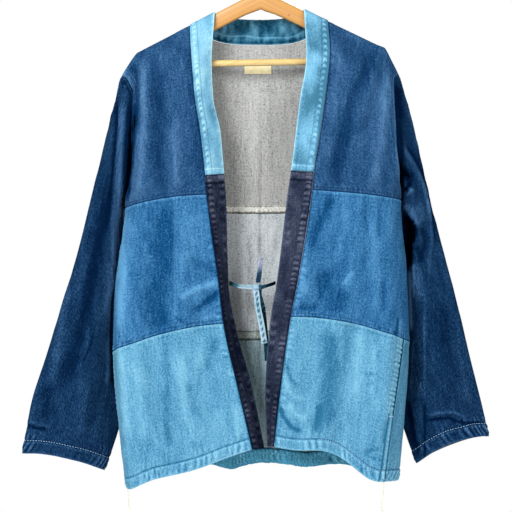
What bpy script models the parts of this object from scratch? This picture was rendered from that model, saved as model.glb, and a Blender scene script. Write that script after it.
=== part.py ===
"""A colour-blocked denim jacket, cut straight like a farmer's noragi, on a wooden coat hanger.

Metres, +Z up, the jacket's front towards -Y. The origin is the inner top of the hanger's hook,
where a rail or a nail holds it. "right" and "left" are the wearer's, so the right side is at -X.

Every cloth piece is a grid on one of five forms: the body, the front bands, the neck band, the
sleeves and the ties. A form takes two numbers and gives a point of the cloth's middle layer, so
neighbouring pieces meet along their seams, and Solidify gives each piece its wall.
"""

import math

import bmesh
import bpy
import numpy as np

# Cloth
DENIM = 0.0016  # wall of one layer
BAND_CLOTH = 0.0030  # the band is folded double
BAND_CROWN = 0.0020  # how far a front band stands out between its edges
TAPE_CLOTH = 0.0020  # the ties are folded and stitched
TAPE_WIDTH = 0.010
BAND_WIDTH = 0.045
GAP = 0.0003  # between two pieces that are sewn together
SEAM_MARGIN = 0.005  # the narrow strip of faces along each seam
SEAM_STEP = 0.0014  # half of the gap across a side seam, in parts of a front's width
SHOULDER_GAP = 0.0008  # of level, on each side of the shoulder seam
CORNER_GAP = 0.0010  # and so much more past the hanger's tips
SHOULDER_CLEAR = 0.0009  # least distance of either edge from the seam line, up there
SLEEVE_GAP = 0.0021  # at the armhole the two walls meet at an angle
BAND_GAP = 0.0012  # and so they do along the band's seam
NECK_GAP = 0.0005
UPPER_ROWS = 10  # rows of faces down the upper panels, and half of those round a sleeve
NECK_COLUMNS = 7  # columns of faces from the middle of the neck to the shoulder
THREAD = 0.0012

# Hanger
APEX_Z = -0.0760  # top edge of the arms, produced to the middle
ARM_SLOPE = 0.4985  # fall of the arms for each metre out from the middle
HANG_TILT = 0.0195  # the hanger hangs with the wearer's left a little high
ARM_HEIGHT = 0.030
ARM_THICK = 0.011
ARM_ROUND = 0.0050
ARM_X = 0.2080  # reach of the boards
TIP_X = 0.2165  # where the cloth leaves them
TIP_HEIGHT = 0.0262
BAR_RADIUS = 0.006
BAR_X = 0.1905
BAR_Z = -0.2035
HOOK_INSIDE = 0.020  # inner radius
HOOK_WIRE = 0.0020  # wire radius
SHANK_Z = -0.0796
CLOTH_SEAT = (GAP + DENIM / 2) * math.hypot(1, ARM_SLOPE)  # the cloth's height on the arms

# Neck
NECK_DEPTH = 0.042  # how far the back neckline lies behind the shoulder line
NECK_Z = -0.1665  # its lowest point, in the middle
NECK_EDGE_DEPTH = 0.037  # the same two for the band's folded edge
NECK_EDGE_Z = -0.1220

# Levels of the body, measured down the front from the shoulder seam
SHOULDER = 0.0
BAND_JOINT = 0.265  # light band above, black band below
CHEST_SEAM = 0.300  # upper to middle panels, at the underarm
WAIST_SEAM = 0.525  # middle to lower panels
HEM = 0.745

NECK_FADE = 0.30  # level by which the back has taken up the neckline's depth

FOLD_ROUND = 0.055  # how wide the body's side fold turns in front
BACK_ROUND = 0.080  # and behind

SIGN = {"right": -1, "left": 1}

# One row for each level of a front: the seam to the band, then the side. x is the distance from
# the middle. "edge" is where the front panel ends on its way round the side, in degrees: below
# the underarm 90 is the fold itself, and above it the panel ends at the armhole.
FRONT_COLUMNS = ("level", "seam_x", "seam_y", "seam_z", "side_x", "front_y", "side_z", "edge", "bow")
FRONTS = {
    "right": (
        (0.000, 0.1240, 0.0000, -0.1378, 0.2460, 0.0000, -0.2310, 90, 0.000),
        (0.002, 0.1240, -0.0027, -0.1382, 0.2459, -0.0027, -0.2314, 84, 0.000),
        (0.006, 0.1240, -0.0072, -0.1395, 0.2456, -0.0070, -0.2327, 74, 0.000),
        (0.014, 0.1238, -0.0110, -0.1480, 0.2445, -0.0105, -0.2390, 66, 0.000),
        (0.060, 0.1200, -0.0330, -0.2030, 0.2440, -0.0300, -0.2580, 48, 0.000),
        (0.130, 0.1140, -0.0400, -0.2700, 0.2446, -0.0420, -0.2990, 40, 0.000),
        (0.187, 0.1050, -0.0430, -0.3260, 0.2448, -0.0460, -0.3430, 39, 0.000),
        (0.265, 0.0960, -0.0450, -0.4040, 0.2380, -0.0480, -0.4200, 57, 0.003),
        (0.300, 0.0930, -0.0460, -0.4380, 0.2370, -0.0480, -0.4600, 90, 0.005),
        (0.457, 0.0720, -0.0460, -0.5940, 0.2560, -0.0500, -0.6180, 90, 0.006),
        (0.525, 0.0640, -0.0460, -0.6610, 0.2585, -0.0500, -0.7110, 90, 0.010),
        (0.640, 0.0390, -0.0470, -0.7720, 0.2495, -0.0500, -0.8310, 90, 0.004),
        (0.745, 0.0140, -0.0470, -0.8770, 0.2370, -0.0480, -0.9380, 90, 0.000),
    ),
    "left": (
        (0.000, 0.1190, 0.0000, -0.1306, 0.2450, 0.0000, -0.2300, 90, 0.000),
        (0.002, 0.1190, -0.0027, -0.1310, 0.2450, -0.0027, -0.2304, 84, 0.000),
        (0.006, 0.1190, -0.0072, -0.1323, 0.2449, -0.0070, -0.2317, 74, 0.000),
        (0.014, 0.1192, -0.0110, -0.1410, 0.2445, -0.0105, -0.2380, 66, 0.000),
        (0.060, 0.1210, -0.0330, -0.1850, 0.2470, -0.0300, -0.2580, 48, 0.000),
        (0.130, 0.1120, -0.0400, -0.2700, 0.2526, -0.0420, -0.2990, 40, 0.000),
        (0.187, 0.1040, -0.0430, -0.3260, 0.2548, -0.0460, -0.3430, 39, 0.000),
        (0.265, 0.0920, -0.0450, -0.3990, 0.2490, -0.0480, -0.4120, 57, 0.001),
        (0.300, 0.0890, -0.0460, -0.4300, 0.2460, -0.0480, -0.4460, 90, 0.002),
        (0.457, 0.0630, -0.0470, -0.5940, 0.2580, -0.0500, -0.6070, 71, 0.006),
        (0.525, 0.0520, -0.0480, -0.6490, 0.2610, -0.0510, -0.6940, 50, 0.012),
        (0.640, 0.0340, -0.0490, -0.7750, 0.2520, -0.0520, -0.8240, 34, 0.006),
        (0.745, 0.0230, -0.0490, -0.8730, 0.2410, -0.0500, -0.9370, 27, 0.000),
    ),
}

# The back's middle line, and how much of the shoulder line's shape each level keeps
BACK_COLUMNS = ("level", "back_y", "back_z", "shoulder")
BACK = (
    (0.000, 0.0000, -0.1378, 1.00),
    (0.002, 0.0027, -0.1382, 1.00),
    (0.006, 0.0070, -0.1395, 1.00),
    (0.014, 0.0105, -0.1500, 0.98),
    (0.060, 0.0290, -0.2180, 0.60),
    (0.130, 0.0390, -0.2900, 0.22),
    (0.187, 0.0430, -0.3450, 0.08),
    (0.265, 0.0450, -0.4260, 0.00),
    (0.300, 0.0460, -0.4680, 0.00),
    (0.457, 0.0480, -0.6050, 0.00),
    (0.525, 0.0490, -0.6940, 0.00),
    (0.640, 0.0500, -0.8000, 0.00),
    (0.745, 0.0500, -0.9150, 0.00),
)

# The bands' folded edge, opposite the seam to the front
BAND_COLUMNS = ("level", "edge_x", "edge_y", "edge_z")
BANDS = {
    "right": (
        (0.000, -0.0800, 0.0000, -0.1152),
        (0.002, -0.0800, -0.0030, -0.1156),
        (0.006, -0.0802, -0.0090, -0.1180),
        (0.014, -0.0808, -0.0122, -0.1270),
        (0.060, -0.0860, -0.0170, -0.1990),
        (0.130, -0.0830, -0.0190, -0.2690),
        (0.187, -0.0710, -0.0210, -0.3250),
        (0.265, -0.0640, -0.0220, -0.4010),
        (0.300, -0.0610, -0.0200, -0.4380),
        (0.457, -0.0570, -0.0100, -0.5950),
        (0.525, -0.0450, -0.0110, -0.6660),
        (0.640, -0.0160, -0.0160, -0.7720),
        (0.745, 0.0060, -0.0200, -0.8790),
    ),
    "left": (
        (0.000, 0.0760, 0.0000, -0.1102),
        (0.002, 0.0760, -0.0030, -0.1106),
        (0.006, 0.0762, -0.0090, -0.1130),
        (0.014, 0.0766, -0.0122, -0.1220),
        (0.060, 0.0800, -0.0240, -0.1930),
        (0.130, 0.0690, -0.0290, -0.2690),
        (0.187, 0.0620, -0.0320, -0.3250),
        (0.265, 0.0530, -0.0350, -0.3960),
        (0.300, 0.0480, -0.0350, -0.4290),
        (0.457, 0.0280, -0.0340, -0.5920),
        (0.525, 0.0180, -0.0330, -0.6510),
        (0.640, 0.0090, -0.0220, -0.7770),
        (0.745, 0.0130, -0.0100, -0.8770),
    ),
}

# The large soft folds of the body. "where" is the fraction of the way from the band to the side
# fold, or beyond 1 from the fold to the middle of the back. Depth is out of the cloth.
FOLD_COLUMNS = ("where_top", "where_low", "top", "low", "width", "depth")
FOLDS = {
    "right": (
        (0.72, 0.80, 0.03, 0.27, 0.012, -0.0080),
        (0.52, 0.62, 0.02, 0.34, 0.030, 0.0040),
        (0.30, 0.26, 0.22, 0.56, 0.030, 0.0050),
        (0.60, 0.52, 0.32, 0.80, 0.028, -0.0060),
        (0.20, 0.22, 0.46, 0.80, 0.026, -0.0050),
        (0.78, 0.82, 0.40, 0.80, 0.024, 0.0070),
        (1.35, 1.30, 0.12, 0.60, 0.030, 0.0060),
        (1.55, 1.52, 0.30, 0.80, 0.022, -0.0080),
        (1.78, 1.80, 0.38, 0.80, 0.024, 0.0110),
        (1.99, 1.99, 0.04, 0.80, 0.010, -0.0040),
    ),
    "left": (
        (0.74, 0.40, 0.00, 0.22, 0.026, -0.0060),
        (0.84, 0.78, 0.06, 0.30, 0.022, 0.0040),
        (0.46, 0.44, 0.24, 0.56, 0.030, 0.0050),
        (0.18, 0.22, 0.36, 0.72, 0.028, -0.0040),
        (0.48, 0.46, 0.44, 0.80, 0.028, -0.0080),
        (0.70, 0.72, 0.46, 0.80, 0.026, 0.0090),
        (1.32, 1.34, 0.10, 0.60, 0.032, 0.0060),
        (1.52, 1.50, 0.34, 0.80, 0.024, -0.0080),
        (1.72, 1.70, 0.42, 0.80, 0.022, 0.0080),
        (1.86, 1.84, 0.36, 0.80, 0.018, -0.0070),
    ),
}

# How the hem rises and dips along those fractions
WAVE_COLUMNS = ("where", "width", "height")
HEM_WAVES = {
    "right": ((0.45, 0.30, -0.009), (0.86, 0.12, -0.013), (1.50, 0.14, 0.006), (1.80, 0.10, -0.011)),
    "left": ((0.38, 0.20, 0.018), (0.68, 0.12, -0.009), (1.45, 0.14, 0.006), (1.70, 0.10, -0.006)),
}

# One row for each ring of a sleeve, from the armhole to the cuff: the outer edge, the inner edge
# behind the body's side, and how far the cloth stands out in front of and behind that chord.
# "bow" lifts the front of the cuff between its corners.
SLEEVE_COLUMNS = (
    "along", "outer_x", "outer_y", "outer_z", "inner_x", "inner_y", "inner_z", "front", "back", "bow",
)
SLEEVES = {
    "right": (
        (0.00, 0.2475, 0.000, -0.2310, 0.2385, -0.004, -0.4620, 0.036, 0.036, 0.000),
        (0.05, 0.2530, 0.002, -0.2580, 0.2445, 0.006, -0.4680, 0.036, 0.034, 0.000),
        (0.12, 0.2620, 0.005, -0.2960, 0.2425, 0.024, -0.4860, 0.035, 0.031, 0.000),
        (0.22, 0.2750, 0.009, -0.3520, 0.2370, 0.050, -0.5270, 0.034, 0.028, 0.000),
        (0.33, 0.2950, 0.014, -0.4250, 0.2320, 0.063, -0.5800, 0.032, 0.026, 0.000),
        (0.48, 0.3230, 0.018, -0.5370, 0.2170, 0.068, -0.6500, 0.032, 0.024, 0.000),
        (0.62, 0.3520, 0.020, -0.6320, 0.2220, 0.064, -0.7250, 0.030, 0.022, 0.000),
        (0.76, 0.3810, 0.020, -0.7250, 0.2400, 0.054, -0.7950, 0.027, 0.020, 0.002),
        (0.88, 0.4050, 0.018, -0.8050, 0.2570, 0.044, -0.8600, 0.023, 0.018, 0.006),
        (1.00, 0.4210, 0.016, -0.8930, 0.2790, 0.034, -0.9250, 0.018, 0.015, 0.010),
    ),
    "left": (
        (0.00, 0.2465, 0.000, -0.2300, 0.2475, -0.004, -0.4480, 0.036, 0.036, 0.000),
        (0.05, 0.2535, 0.002, -0.2580, 0.2530, 0.006, -0.4540, 0.036, 0.034, 0.000),
        (0.12, 0.2630, 0.005, -0.2960, 0.2510, 0.024, -0.4730, 0.035, 0.031, 0.000),
        (0.22, 0.2770, 0.009, -0.3520, 0.2450, 0.050, -0.5180, 0.034, 0.028, 0.000),
        (0.33, 0.2960, 0.014, -0.4250, 0.2390, 0.063, -0.5750, 0.032, 0.026, 0.000),
        (0.48, 0.3230, 0.018, -0.5370, 0.2220, 0.068, -0.6450, 0.032, 0.024, 0.000),
        (0.62, 0.3490, 0.020, -0.6320, 0.2260, 0.064, -0.7200, 0.030, 0.022, 0.000),
        (0.76, 0.3710, 0.020, -0.7220, 0.2400, 0.054, -0.7900, 0.027, 0.020, 0.004),
        (0.88, 0.3900, 0.018, -0.8000, 0.2570, 0.044, -0.8500, 0.023, 0.018, 0.010),
        (1.00, 0.4035, 0.016, -0.8630, 0.2790, 0.034, -0.9130, 0.018, 0.015, 0.016),
    ),
}
HEAD_REACH = 0.24  # how far down the sleeve the armhole's own shape still shows

# The long folds of a sleeve. "round" goes from the inner edge over the front (0.25) to the outer
# edge (0.5) and over the back.
SLEEVE_FOLD_COLUMNS = ("round_top", "round_low", "top", "low", "width", "depth")
SLEEVE_FOLDS = {
    "right": (
        (0.30, 0.22, 0.02, 1.10, 0.050, 0.0070),
        (0.40, 0.36, 0.10, 1.10, 0.050, -0.0050),
        (0.12, 0.10, 0.10, 0.80, 0.050, -0.0080),
        (0.66, 0.70, 0.05, 1.10, 0.050, 0.0060),
        (0.80, 0.84, 0.15, 1.00, 0.050, -0.0070),
    ),
    "left": (
        (0.26, 0.30, 0.10, 1.10, 0.055, 0.0090),
        (0.17, 0.15, 0.12, 0.85, 0.050, -0.0110),
        (0.40, 0.40, 0.20, 1.10, 0.050, -0.0050),
        (0.62, 0.66, 0.05, 1.10, 0.055, 0.0070),
        (0.78, 0.80, 0.20, 1.00, 0.050, -0.0070),
    ),
}

# Ties: points along the middle of each tape, and the direction of its width there
TIES = {
    "tie_strap_right": (
        ((-0.0549, -0.0095, -0.5915), (0, 0.80, 0.60)),
        ((-0.0330, -0.0150, -0.5975), (0, 0.86, 0.50)),
        ((-0.0141, -0.0188, -0.5985), (0, 0.70, 0.71)),
    ),
    "tie_strap_left": (
        ((0.0261, -0.0331, -0.5903), (0, 0.86, 0.50)),
        ((0.0120, -0.0260, -0.5955), (0, 0.90, 0.42)),
        ((0.0035, -0.0200, -0.5980), (0, 0.80, 0.60)),
    ),
    "tie_end_up": (
        ((-0.0045, -0.0190, -0.5902), (0.80, 0.60, 0)),
        ((-0.0015, -0.0165, -0.5700), (0.74, 0.67, 0)),
        ((0.0005, -0.0170, -0.5460), (0.60, 0.80, 0)),
    ),
    "tie_tail_front": (
        ((-0.0080, -0.0250, -0.6058), (0.97, 0.10, 0.20)),
        ((-0.0050, -0.0275, -0.6300), (0.97, 0.10, 0.16)),
        ((0.0010, -0.0265, -0.6600), (0.98, 0.10, 0.16)),
        ((0.0070, -0.0250, -0.6960), (0.98, 0.14, 0.16)),
    ),
    "tie_tail_back": (
        ((-0.0025, -0.0185, -0.6065), (0.80, 0.58, 0.10)),
        ((0.0040, -0.0150, -0.6350), (0.78, 0.60, 0.12)),
        ((0.0085, -0.0140, -0.6800), (0.80, 0.58, 0.12)),
        ((0.0120, -0.0150, -0.7270), (0.86, 0.50, 0.10)),
    ),
}
KNOT_CENTRE = (-0.0055, -0.0205, -0.5985)
KNOT_SIZE = (0.0175, 0.0125, 0.0155)

# Threads that hang from the side seams at the hem
THREADS = {
    "thread_right": (
        (-0.2352, -0.0057, -0.9441), (-0.2338, -0.0056, -0.9530), (-0.2312, -0.0060, -0.9640),
        (-0.2318, -0.0055, -0.9760), (-0.2296, -0.0050, -0.9880),
    ),
    "thread_left": (
        (0.2128, -0.0473, -0.9333), (0.2122, -0.0462, -0.9500), (0.2108, -0.0455, -0.9640),
        (0.2085, -0.0450, -0.9760), (0.2100, -0.0445, -0.9830), (0.2140, -0.0440, -0.9880),
    ),
}

LABEL_X = (-0.0285, 0.0195)
LABEL_Z = (-0.2185, -0.1985)
LABEL_CLOTH = 0.0010
LABEL_LOOSE = 0.0003  # it bridges the back's creases

# Colour (RGB), roughness and metallic value of each material
DARK_DENIM = (0.050, 0.095, 0.200), 0.90, 0.0
SLEEVE_DENIM = (0.035, 0.075, 0.150), 0.90, 0.0
MID_DENIM = (0.085, 0.190, 0.370), 0.90, 0.0
PALE_DENIM = (0.200, 0.400, 0.580), 0.90, 0.0
BAND_DENIM = (0.230, 0.450, 0.620), 0.90, 0.0
NECK_DENIM = (0.070, 0.190, 0.300), 0.90, 0.0
BLACK_DENIM = (0.045, 0.045, 0.070), 0.90, 0.0
TIE_DENIM = (0.170, 0.290, 0.420), 0.90, 0.0
LABEL_COTTON = (0.700, 0.600, 0.380), 0.85, 0.0
CREAM_THREAD = (0.860, 0.820, 0.640), 0.80, 0.0
VARNISHED_WOOD = (0.800, 0.500, 0.230), 0.35, 0.0
HOOK_STEEL = (0.750, 0.750, 0.760), 0.20, 1.0


def smooth_table(rows, at):
    """Every column of a table at this value of its first one, by a cubic that never overshoots."""
    table = np.asarray(rows, float)
    key, values = table[:, 0], table[:, 1:]
    step = np.diff(key)[:, None]
    slope = np.diff(values, axis=0) / step
    same = slope[1:] * slope[:-1] > 0
    mean = np.where(same, 2 * slope[1:] * slope[:-1] / np.where(same, slope[1:] + slope[:-1], 1), 0)
    tangent = np.vstack([slope[:1], mean, slope[-1:]])
    i = int(np.clip(np.searchsorted(key, at) - 1, 0, len(key) - 2))
    h = step[i, 0]
    t = (at - key[i]) / h
    return (
        values[i] * (1 + 2 * t) * (1 - t) ** 2
        + values[i + 1] * t * t * (3 - 2 * t)
        + tangent[i] * h * t * (1 - t) ** 2
        - tangent[i + 1] * h * t * t * (1 - t)
    )


def mix(a, b, t):
    return a + (b - a) * t


def ease(t):
    t = min(max(t, 0.0), 1.0)
    return t * t * (3 - 2 * t)


def bump(distance, width):
    return math.exp(-((distance / width) ** 2))


def arm_top(x):
    """Height of the hanger's top edge at x."""
    return APEX_Z - ARM_SLOPE * abs(x) + HANG_TILT * x


def shoulder_line(side, x, seat):
    """The cloth's height at the shoulder seam: on the arm, then falling past its tip."""
    row = FRONTS[side][0]
    signed = SIGN[side] * x
    if x <= TIP_X:
        return arm_top(signed) + seat
    tip = arm_top(SIGN[side] * TIP_X) + seat
    return mix(tip, row[6], ((x - TIP_X) / (row[4] - TIP_X)) ** 1.15)


def front_row(side, level):
    return dict(zip(FRONT_COLUMNS[1:], smooth_table(FRONTS[side], level)))


def back_row(level):
    return dict(zip(BACK_COLUMNS[1:], smooth_table(BACK, level)))


def quarter(across, deep):
    """Length of a quarter of an ellipse, near enough."""
    return math.pi / 2 * math.sqrt((across**2 + deep**2) / 2)


def neckline(side, x, seat):
    """How far behind the shoulder line the back neckline lies at this x, and its height."""
    neck_x = FRONTS[side][0][1]
    behind = math.sqrt(max(0.0, 1 - (x / neck_x) ** 2))
    start = shoulder_line(side, max(x, neck_x), seat)
    return NECK_DEPTH * behind, mix(start, NECK_Z, ease((behind - 0.22) / 0.78) if behind else 0.0)


def body_point(side, where, level):
    """A point of the body. where is 0 at the band, 1 at the side fold and 2 in the middle of the back."""
    row = front_row(side, level)
    back = back_row(level)
    middle_y = (row["front_y"] + back["back_y"]) / 2
    fold_x = row["side_x"]
    near_seam = SHOULDER_CLEAR * bump(level, 0.01) if level < 0.03 else 0.0
    if where <= 1:
        deep = middle_y - row["front_y"]
        flat = fold_x - FOLD_ROUND - row["seam_x"]
        turn = quarter(FOLD_ROUND, deep)
        run = where * (flat + turn)
        if run < flat:
            angle = 0.0
            x = row["seam_x"] + run
            y = mix(row["seam_y"], row["front_y"], ease(run / flat))
        else:
            angle = (run - flat) / turn * math.pi / 2
            x = fold_x - FOLD_ROUND * (1 - math.sin(angle))
            y = middle_y - deep * math.cos(angle)
        if near_seam:
            y = -((max(-y, 0.0) ** 6 + near_seam**6) ** (1 / 6))
        part = (x - row["seam_x"]) / (fold_x - row["seam_x"])
        z = mix(row["seam_z"], row["side_z"], part) + row["bow"] * 4 * part * (1 - part)
        chord = mix(FRONTS[side][0][3], FRONTS[side][0][6], part)
        line = shoulder_line(side, x, CLOTH_SEAT)
        outward = (math.sin(angle), -math.cos(angle))
    else:
        deep = back["back_y"] - middle_y
        flat = fold_x - BACK_ROUND
        turn = quarter(BACK_ROUND, deep)
        run = (2 - where) * (flat + turn)
        if run < flat:
            angle = 0.0
            x = run
            y = back["back_y"]
        else:
            angle = (run - flat) / turn * math.pi / 2
            x = fold_x - BACK_ROUND * (1 - math.sin(angle))
            y = middle_y + deep * math.cos(angle)
        part = x / fold_x
        z = mix(back["back_z"], row["side_z"], part**2)
        chord = mix(BACK[0][2], FRONTS[side][0][6], part**2)
        behind, line = neckline(side, x, CLOTH_SEAT)
        behind *= 1 - ease(level / NECK_FADE)
        y = (max(y, 0.0) ** 6 + behind**6 + near_seam**6) ** (1 / 6)
        outward = (math.sin(angle), math.cos(angle))
    z += back["shoulder"] * (line - chord)
    reach = fold_x + 0.1
    for fold in FOLDS[side]:
        shape = dict(zip(FOLD_COLUMNS, fold))
        along = (level - shape["top"]) / (shape["low"] - shape["top"])
        if not 0 < along < 1:
            continue
        centre = mix(shape["where_top"], shape["where_low"], along)
        strength = ease(along * 4) * ease((1 - along) * 4) * bump((where - centre) * reach, shape["width"])
        x += outward[0] * shape["depth"] * strength
        y += outward[1] * shape["depth"] * strength
    low = ease((level - WAIST_SEAM) / (HEM - WAIST_SEAM))
    for centre, width, height in HEM_WAVES[side]:
        z += low * height * bump(where - centre, width)
    return np.array([SIGN[side] * x, y, z])


def side_where(side, level):
    """Where the front panel ends at this level: the armhole, or the side seam."""
    row = front_row(side, level)
    middle_y = (row["front_y"] + back_row(level)["back_y"]) / 2
    turn = quarter(FOLD_ROUND, middle_y - row["front_y"])
    flat = row["side_x"] - FOLD_ROUND - row["seam_x"]
    return (flat + turn * row["edge"] / 90) / (flat + turn)


def armhole_back_where(side, level):
    """Where the back panel begins at this level above the underarm, as far round as the front ends."""
    row = front_row(side, level)
    back = back_row(level)
    turn = quarter(BACK_ROUND, back["back_y"] - (row["front_y"] + back["back_y"]) / 2)
    flat = row["side_x"] - BACK_ROUND
    return 1 + turn * (1 - row["edge"] / 90) / (flat + turn) * 0.8


def band_point(side, across, level):
    """A point of a front band, from its seam (0) to its folded edge (1)."""
    lift = (BAND_CLOTH - DENIM) / 2 * bump(level, 0.02)
    seam = body_point(side, 0.0, level) + np.array([0, -lift * ease(level / 0.006), lift])
    edge = smooth_table(BANDS[side], level)
    crown = BAND_CROWN * math.sin(math.pi * across) * ease(level / 0.05)
    return mix(seam, edge, across) - np.array([0, crown, 0])


def neck_point(across, along):
    """A point of the neck band, from its seam (0) to its edge (1), and from -1 to 1 along it."""
    side = "left" if along > 0 else "right"
    turn = abs(along) * math.pi / 2
    x = FRONTS[side][0][1] * math.sin(turn)
    behind, height = neckline(side, x, CLOTH_SEAT + (BAND_CLOTH - DENIM) / 2 + GAP)
    seam = np.array([SIGN[side] * x, behind, height])
    end_x, _, end_z = BANDS[side][0][1:]
    edge = np.array([
        end_x * math.sin(turn),
        NECK_EDGE_DEPTH * math.cos(turn),
        mix(NECK_EDGE_Z, end_z, along**2),
    ])
    return mix(seam, edge, across)


def sleeve_ring(side, around, row):
    """A point of a sleeve's ring, from its inner edge (0) over the front to the outer edge (0.5)."""
    inner = np.array([row["inner_x"], row["inner_y"], row["inner_z"]])
    outer = np.array([row["outer_x"], row["outer_y"], row["outer_z"]])
    turn = 2 * math.pi * around
    along = (1 - math.cos(turn)) / 2
    out = math.sin(turn)
    depth = row["front"] if out > 0 else row["back"]
    point = mix(inner, outer, along)
    point[1] -= depth * np.sign(out) * abs(out) ** 0.8
    point[2] += row["bow"] * 4 * along * (1 - along) * (1 if out > 0 else 0.4)
    return point * np.array([SIGN[side], 1, 1])


def armhole_point(side, around):
    """The armhole, from the underarm (0) up the front to the shoulder (0.5) and down the back."""
    level = CHEST_SEAM * (1 + math.cos(2 * math.pi * around)) / 2
    if around <= 0.5:
        where, back = side_where(side, level), -0.02
    else:
        where, back = armhole_back_where(side, level), 0.02
    edge = body_point(side, where, level)
    onward = edge - body_point(side, where + back, level)
    under = bump(min(around, 1 - around), 0.05)
    direction = mix(onward / np.linalg.norm(onward), np.array([SIGN[side], 0, 0]), under)
    point = edge + direction / np.linalg.norm(direction) * SLEEVE_GAP
    point[1] *= ease(abs(around - 0.5) / 0.04)
    return point


def sleeve_point(side, around, along):
    """A point of a sleeve, around it as above, and from the armhole (0) to the cuff (1)."""
    row = dict(zip(SLEEVE_COLUMNS[1:], smooth_table(SLEEVES[side], along)))
    point = sleeve_ring(side, around, row)
    for fold in SLEEVE_FOLDS[side]:
        shape = dict(zip(SLEEVE_FOLD_COLUMNS, fold))
        part = (along - shape["top"]) / (shape["low"] - shape["top"])
        if not 0 < part < 1:
            continue
        centre = mix(shape["round_top"], shape["round_low"], part)
        strength = ease(part * 4) * ease((1 - part) * 6) * bump(around - centre, shape["width"])
        point[1] -= math.copysign(shape["depth"] * strength, shape["depth"] * (0.5 - around))
    head = 1 - ease(along / HEAD_REACH)
    if head > 0:
        first = dict(zip(SLEEVE_COLUMNS[1:], smooth_table(SLEEVES[side], 0.0)))
        point = point + (armhole_point(side, around) - sleeve_ring(side, around, first)) * head
    return point


def material(name, colour, roughness, metallic):
    made = bpy.data.materials.get(name) or bpy.data.materials.new(name)
    made.use_nodes = True
    shader = made.node_tree.nodes["Principled BSDF"]
    shader.inputs["Base Color"].default_value = (*colour, 1.0)
    shader.inputs["Roughness"].default_value = roughness
    shader.inputs["Metallic"].default_value = metallic
    made.diffuse_color = (*colour, 1.0)
    return made


def add_object(name, data, finish):
    obj = bpy.data.objects.new(name, data)
    obj.data.materials.append(material(name, *finish))
    jacket.objects.link(obj)
    return obj


def solid_wall(obj, thickness):
    wall = obj.modifiers.new("Wall", "SOLIDIFY")
    wall.thickness = thickness
    wall.offset = 0
    return obj


def spaced(count, margin):
    """Places from 0 to 1, with a narrow step of this size at each end."""
    return [0.0, *np.linspace(margin, 1 - margin, count - 1), 1.0]


def cloth(name, form, places, levels, thickness, finish, closed=False):
    """A piece of cloth: a grid whose columns and rows are mapped by the form, with a wall."""
    bm = bmesh.new()
    bmesh.ops.create_grid(bm, x_segments=len(places) - 1, y_segments=len(levels) - 1, size=0.5)
    for vert in bm.verts:
        column = round((vert.co.x + 0.5) * (len(places) - 1))
        row = round((vert.co.y + 0.5) * (len(levels) - 1))
        vert.co = form(places[column], levels[row])
    if closed:
        bmesh.ops.remove_doubles(bm, verts=bm.verts[:], dist=0.00005)
    mesh = bpy.data.meshes.new(name)
    bm.to_mesh(mesh)
    bm.free()
    mesh.shade_smooth()
    return solid_wall(add_object(name, mesh, finish), thickness)


def panel_levels(top, low, rows):
    """Levels of a panel's rows. Beside an armhole they match the columns round the sleeve."""
    end = low - GAP / 2
    if top == SHOULDER:
        turns = np.linspace(0, math.pi, rows + 1)[1:-1]
        return [SHOULDER_GAP, *(low * (1 - np.cos(turns)) / 2), end]
    start = top + GAP / 2
    return mix(start, end, np.asarray(spaced(rows, SEAM_MARGIN / (end - start))))


def past_tip(part, level):
    """The shoulder seam's gap widens where it falls steeply past the hanger's tip."""
    return CORNER_GAP * ease((part - 0.75) / 0.25) * bump(level, 0.004)


def front_panel(name, side, top, low, columns, rows, finish):
    def form(across, level):
        where = mix(SEAM_STEP, side_where(side, level) - SEAM_STEP, across)
        return body_point(side, where, level + past_tip(across, level))

    cloth(name, form, spaced(columns, 0.03), panel_levels(top, low, rows), DENIM, finish)


def back_columns(side):
    """Places across half a back panel, from the middle (0) to its edge (1)."""
    row = FRONTS[side][0]
    reach = row[4] - BACK_ROUND + quarter(BACK_ROUND, 0)
    neck = row[1] / reach
    tip = 0.80
    neckline_part = neck * np.sin(np.linspace(0, math.pi / 2, NECK_COLUMNS + 1))
    return [*neckline_part, *np.linspace(neck, tip, 4)[1:], 0.90, 0.975, 1.0]


def back_panel(name, top, low, rows, finish):
    def form(across, level):
        side = "right" if across < 0 else "left"
        round_arm = level < CHEST_SEAM
        edge = armhole_back_where(side, level) if round_arm else side_where(side, level)
        shift = ease((abs(across) - 0.5) / 0.5)
        where = 2 - abs(across) + (edge + SEAM_STEP - 1) * shift
        return body_point(side, where, level + past_tip(abs(across), level))

    places = [-place for place in reversed(back_columns("right")[1:])] + back_columns("left")
    cloth(name, form, places, panel_levels(top, low, rows), DENIM, finish)


def front_band(name, side, top, low, rows, finish):
    start = top + GAP / 2
    levels = [start, *np.linspace(top, low, rows + 1)[1:-1], low - GAP / 2]
    if top == SHOULDER:
        levels[1:2] = [0.006, 0.014, levels[1]]
    cloth(
        name,
        lambda across, level: band_point(side, across, level),
        np.linspace(BAND_GAP / BAND_WIDTH, 1, 5),
        levels,
        BAND_CLOTH,
        finish,
    )


def neck_band(finish):
    ends = 1 - 0.014
    half = np.linspace(0, 1, NECK_COLUMNS + 1)[1:-1]
    cloth(
        "band_neck",
        lambda along, across: neck_point(across, along),
        [-ends, *-half[::-1], 0.0, *half, ends],
        np.linspace(NECK_GAP / BAND_WIDTH, 1, 4),
        BAND_CLOTH,
        finish,
    )


def sleeve(side, finish):
    around = np.linspace(0, 1, 2 * UPPER_ROWS + 1)
    along = [0.0, *np.linspace(0.012, 0.985, 15), 1.0]
    cloth(f"sleeve_{side}", lambda a, b: sleeve_point(side, a % 1, b), around, along, DENIM, finish, True)


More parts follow.
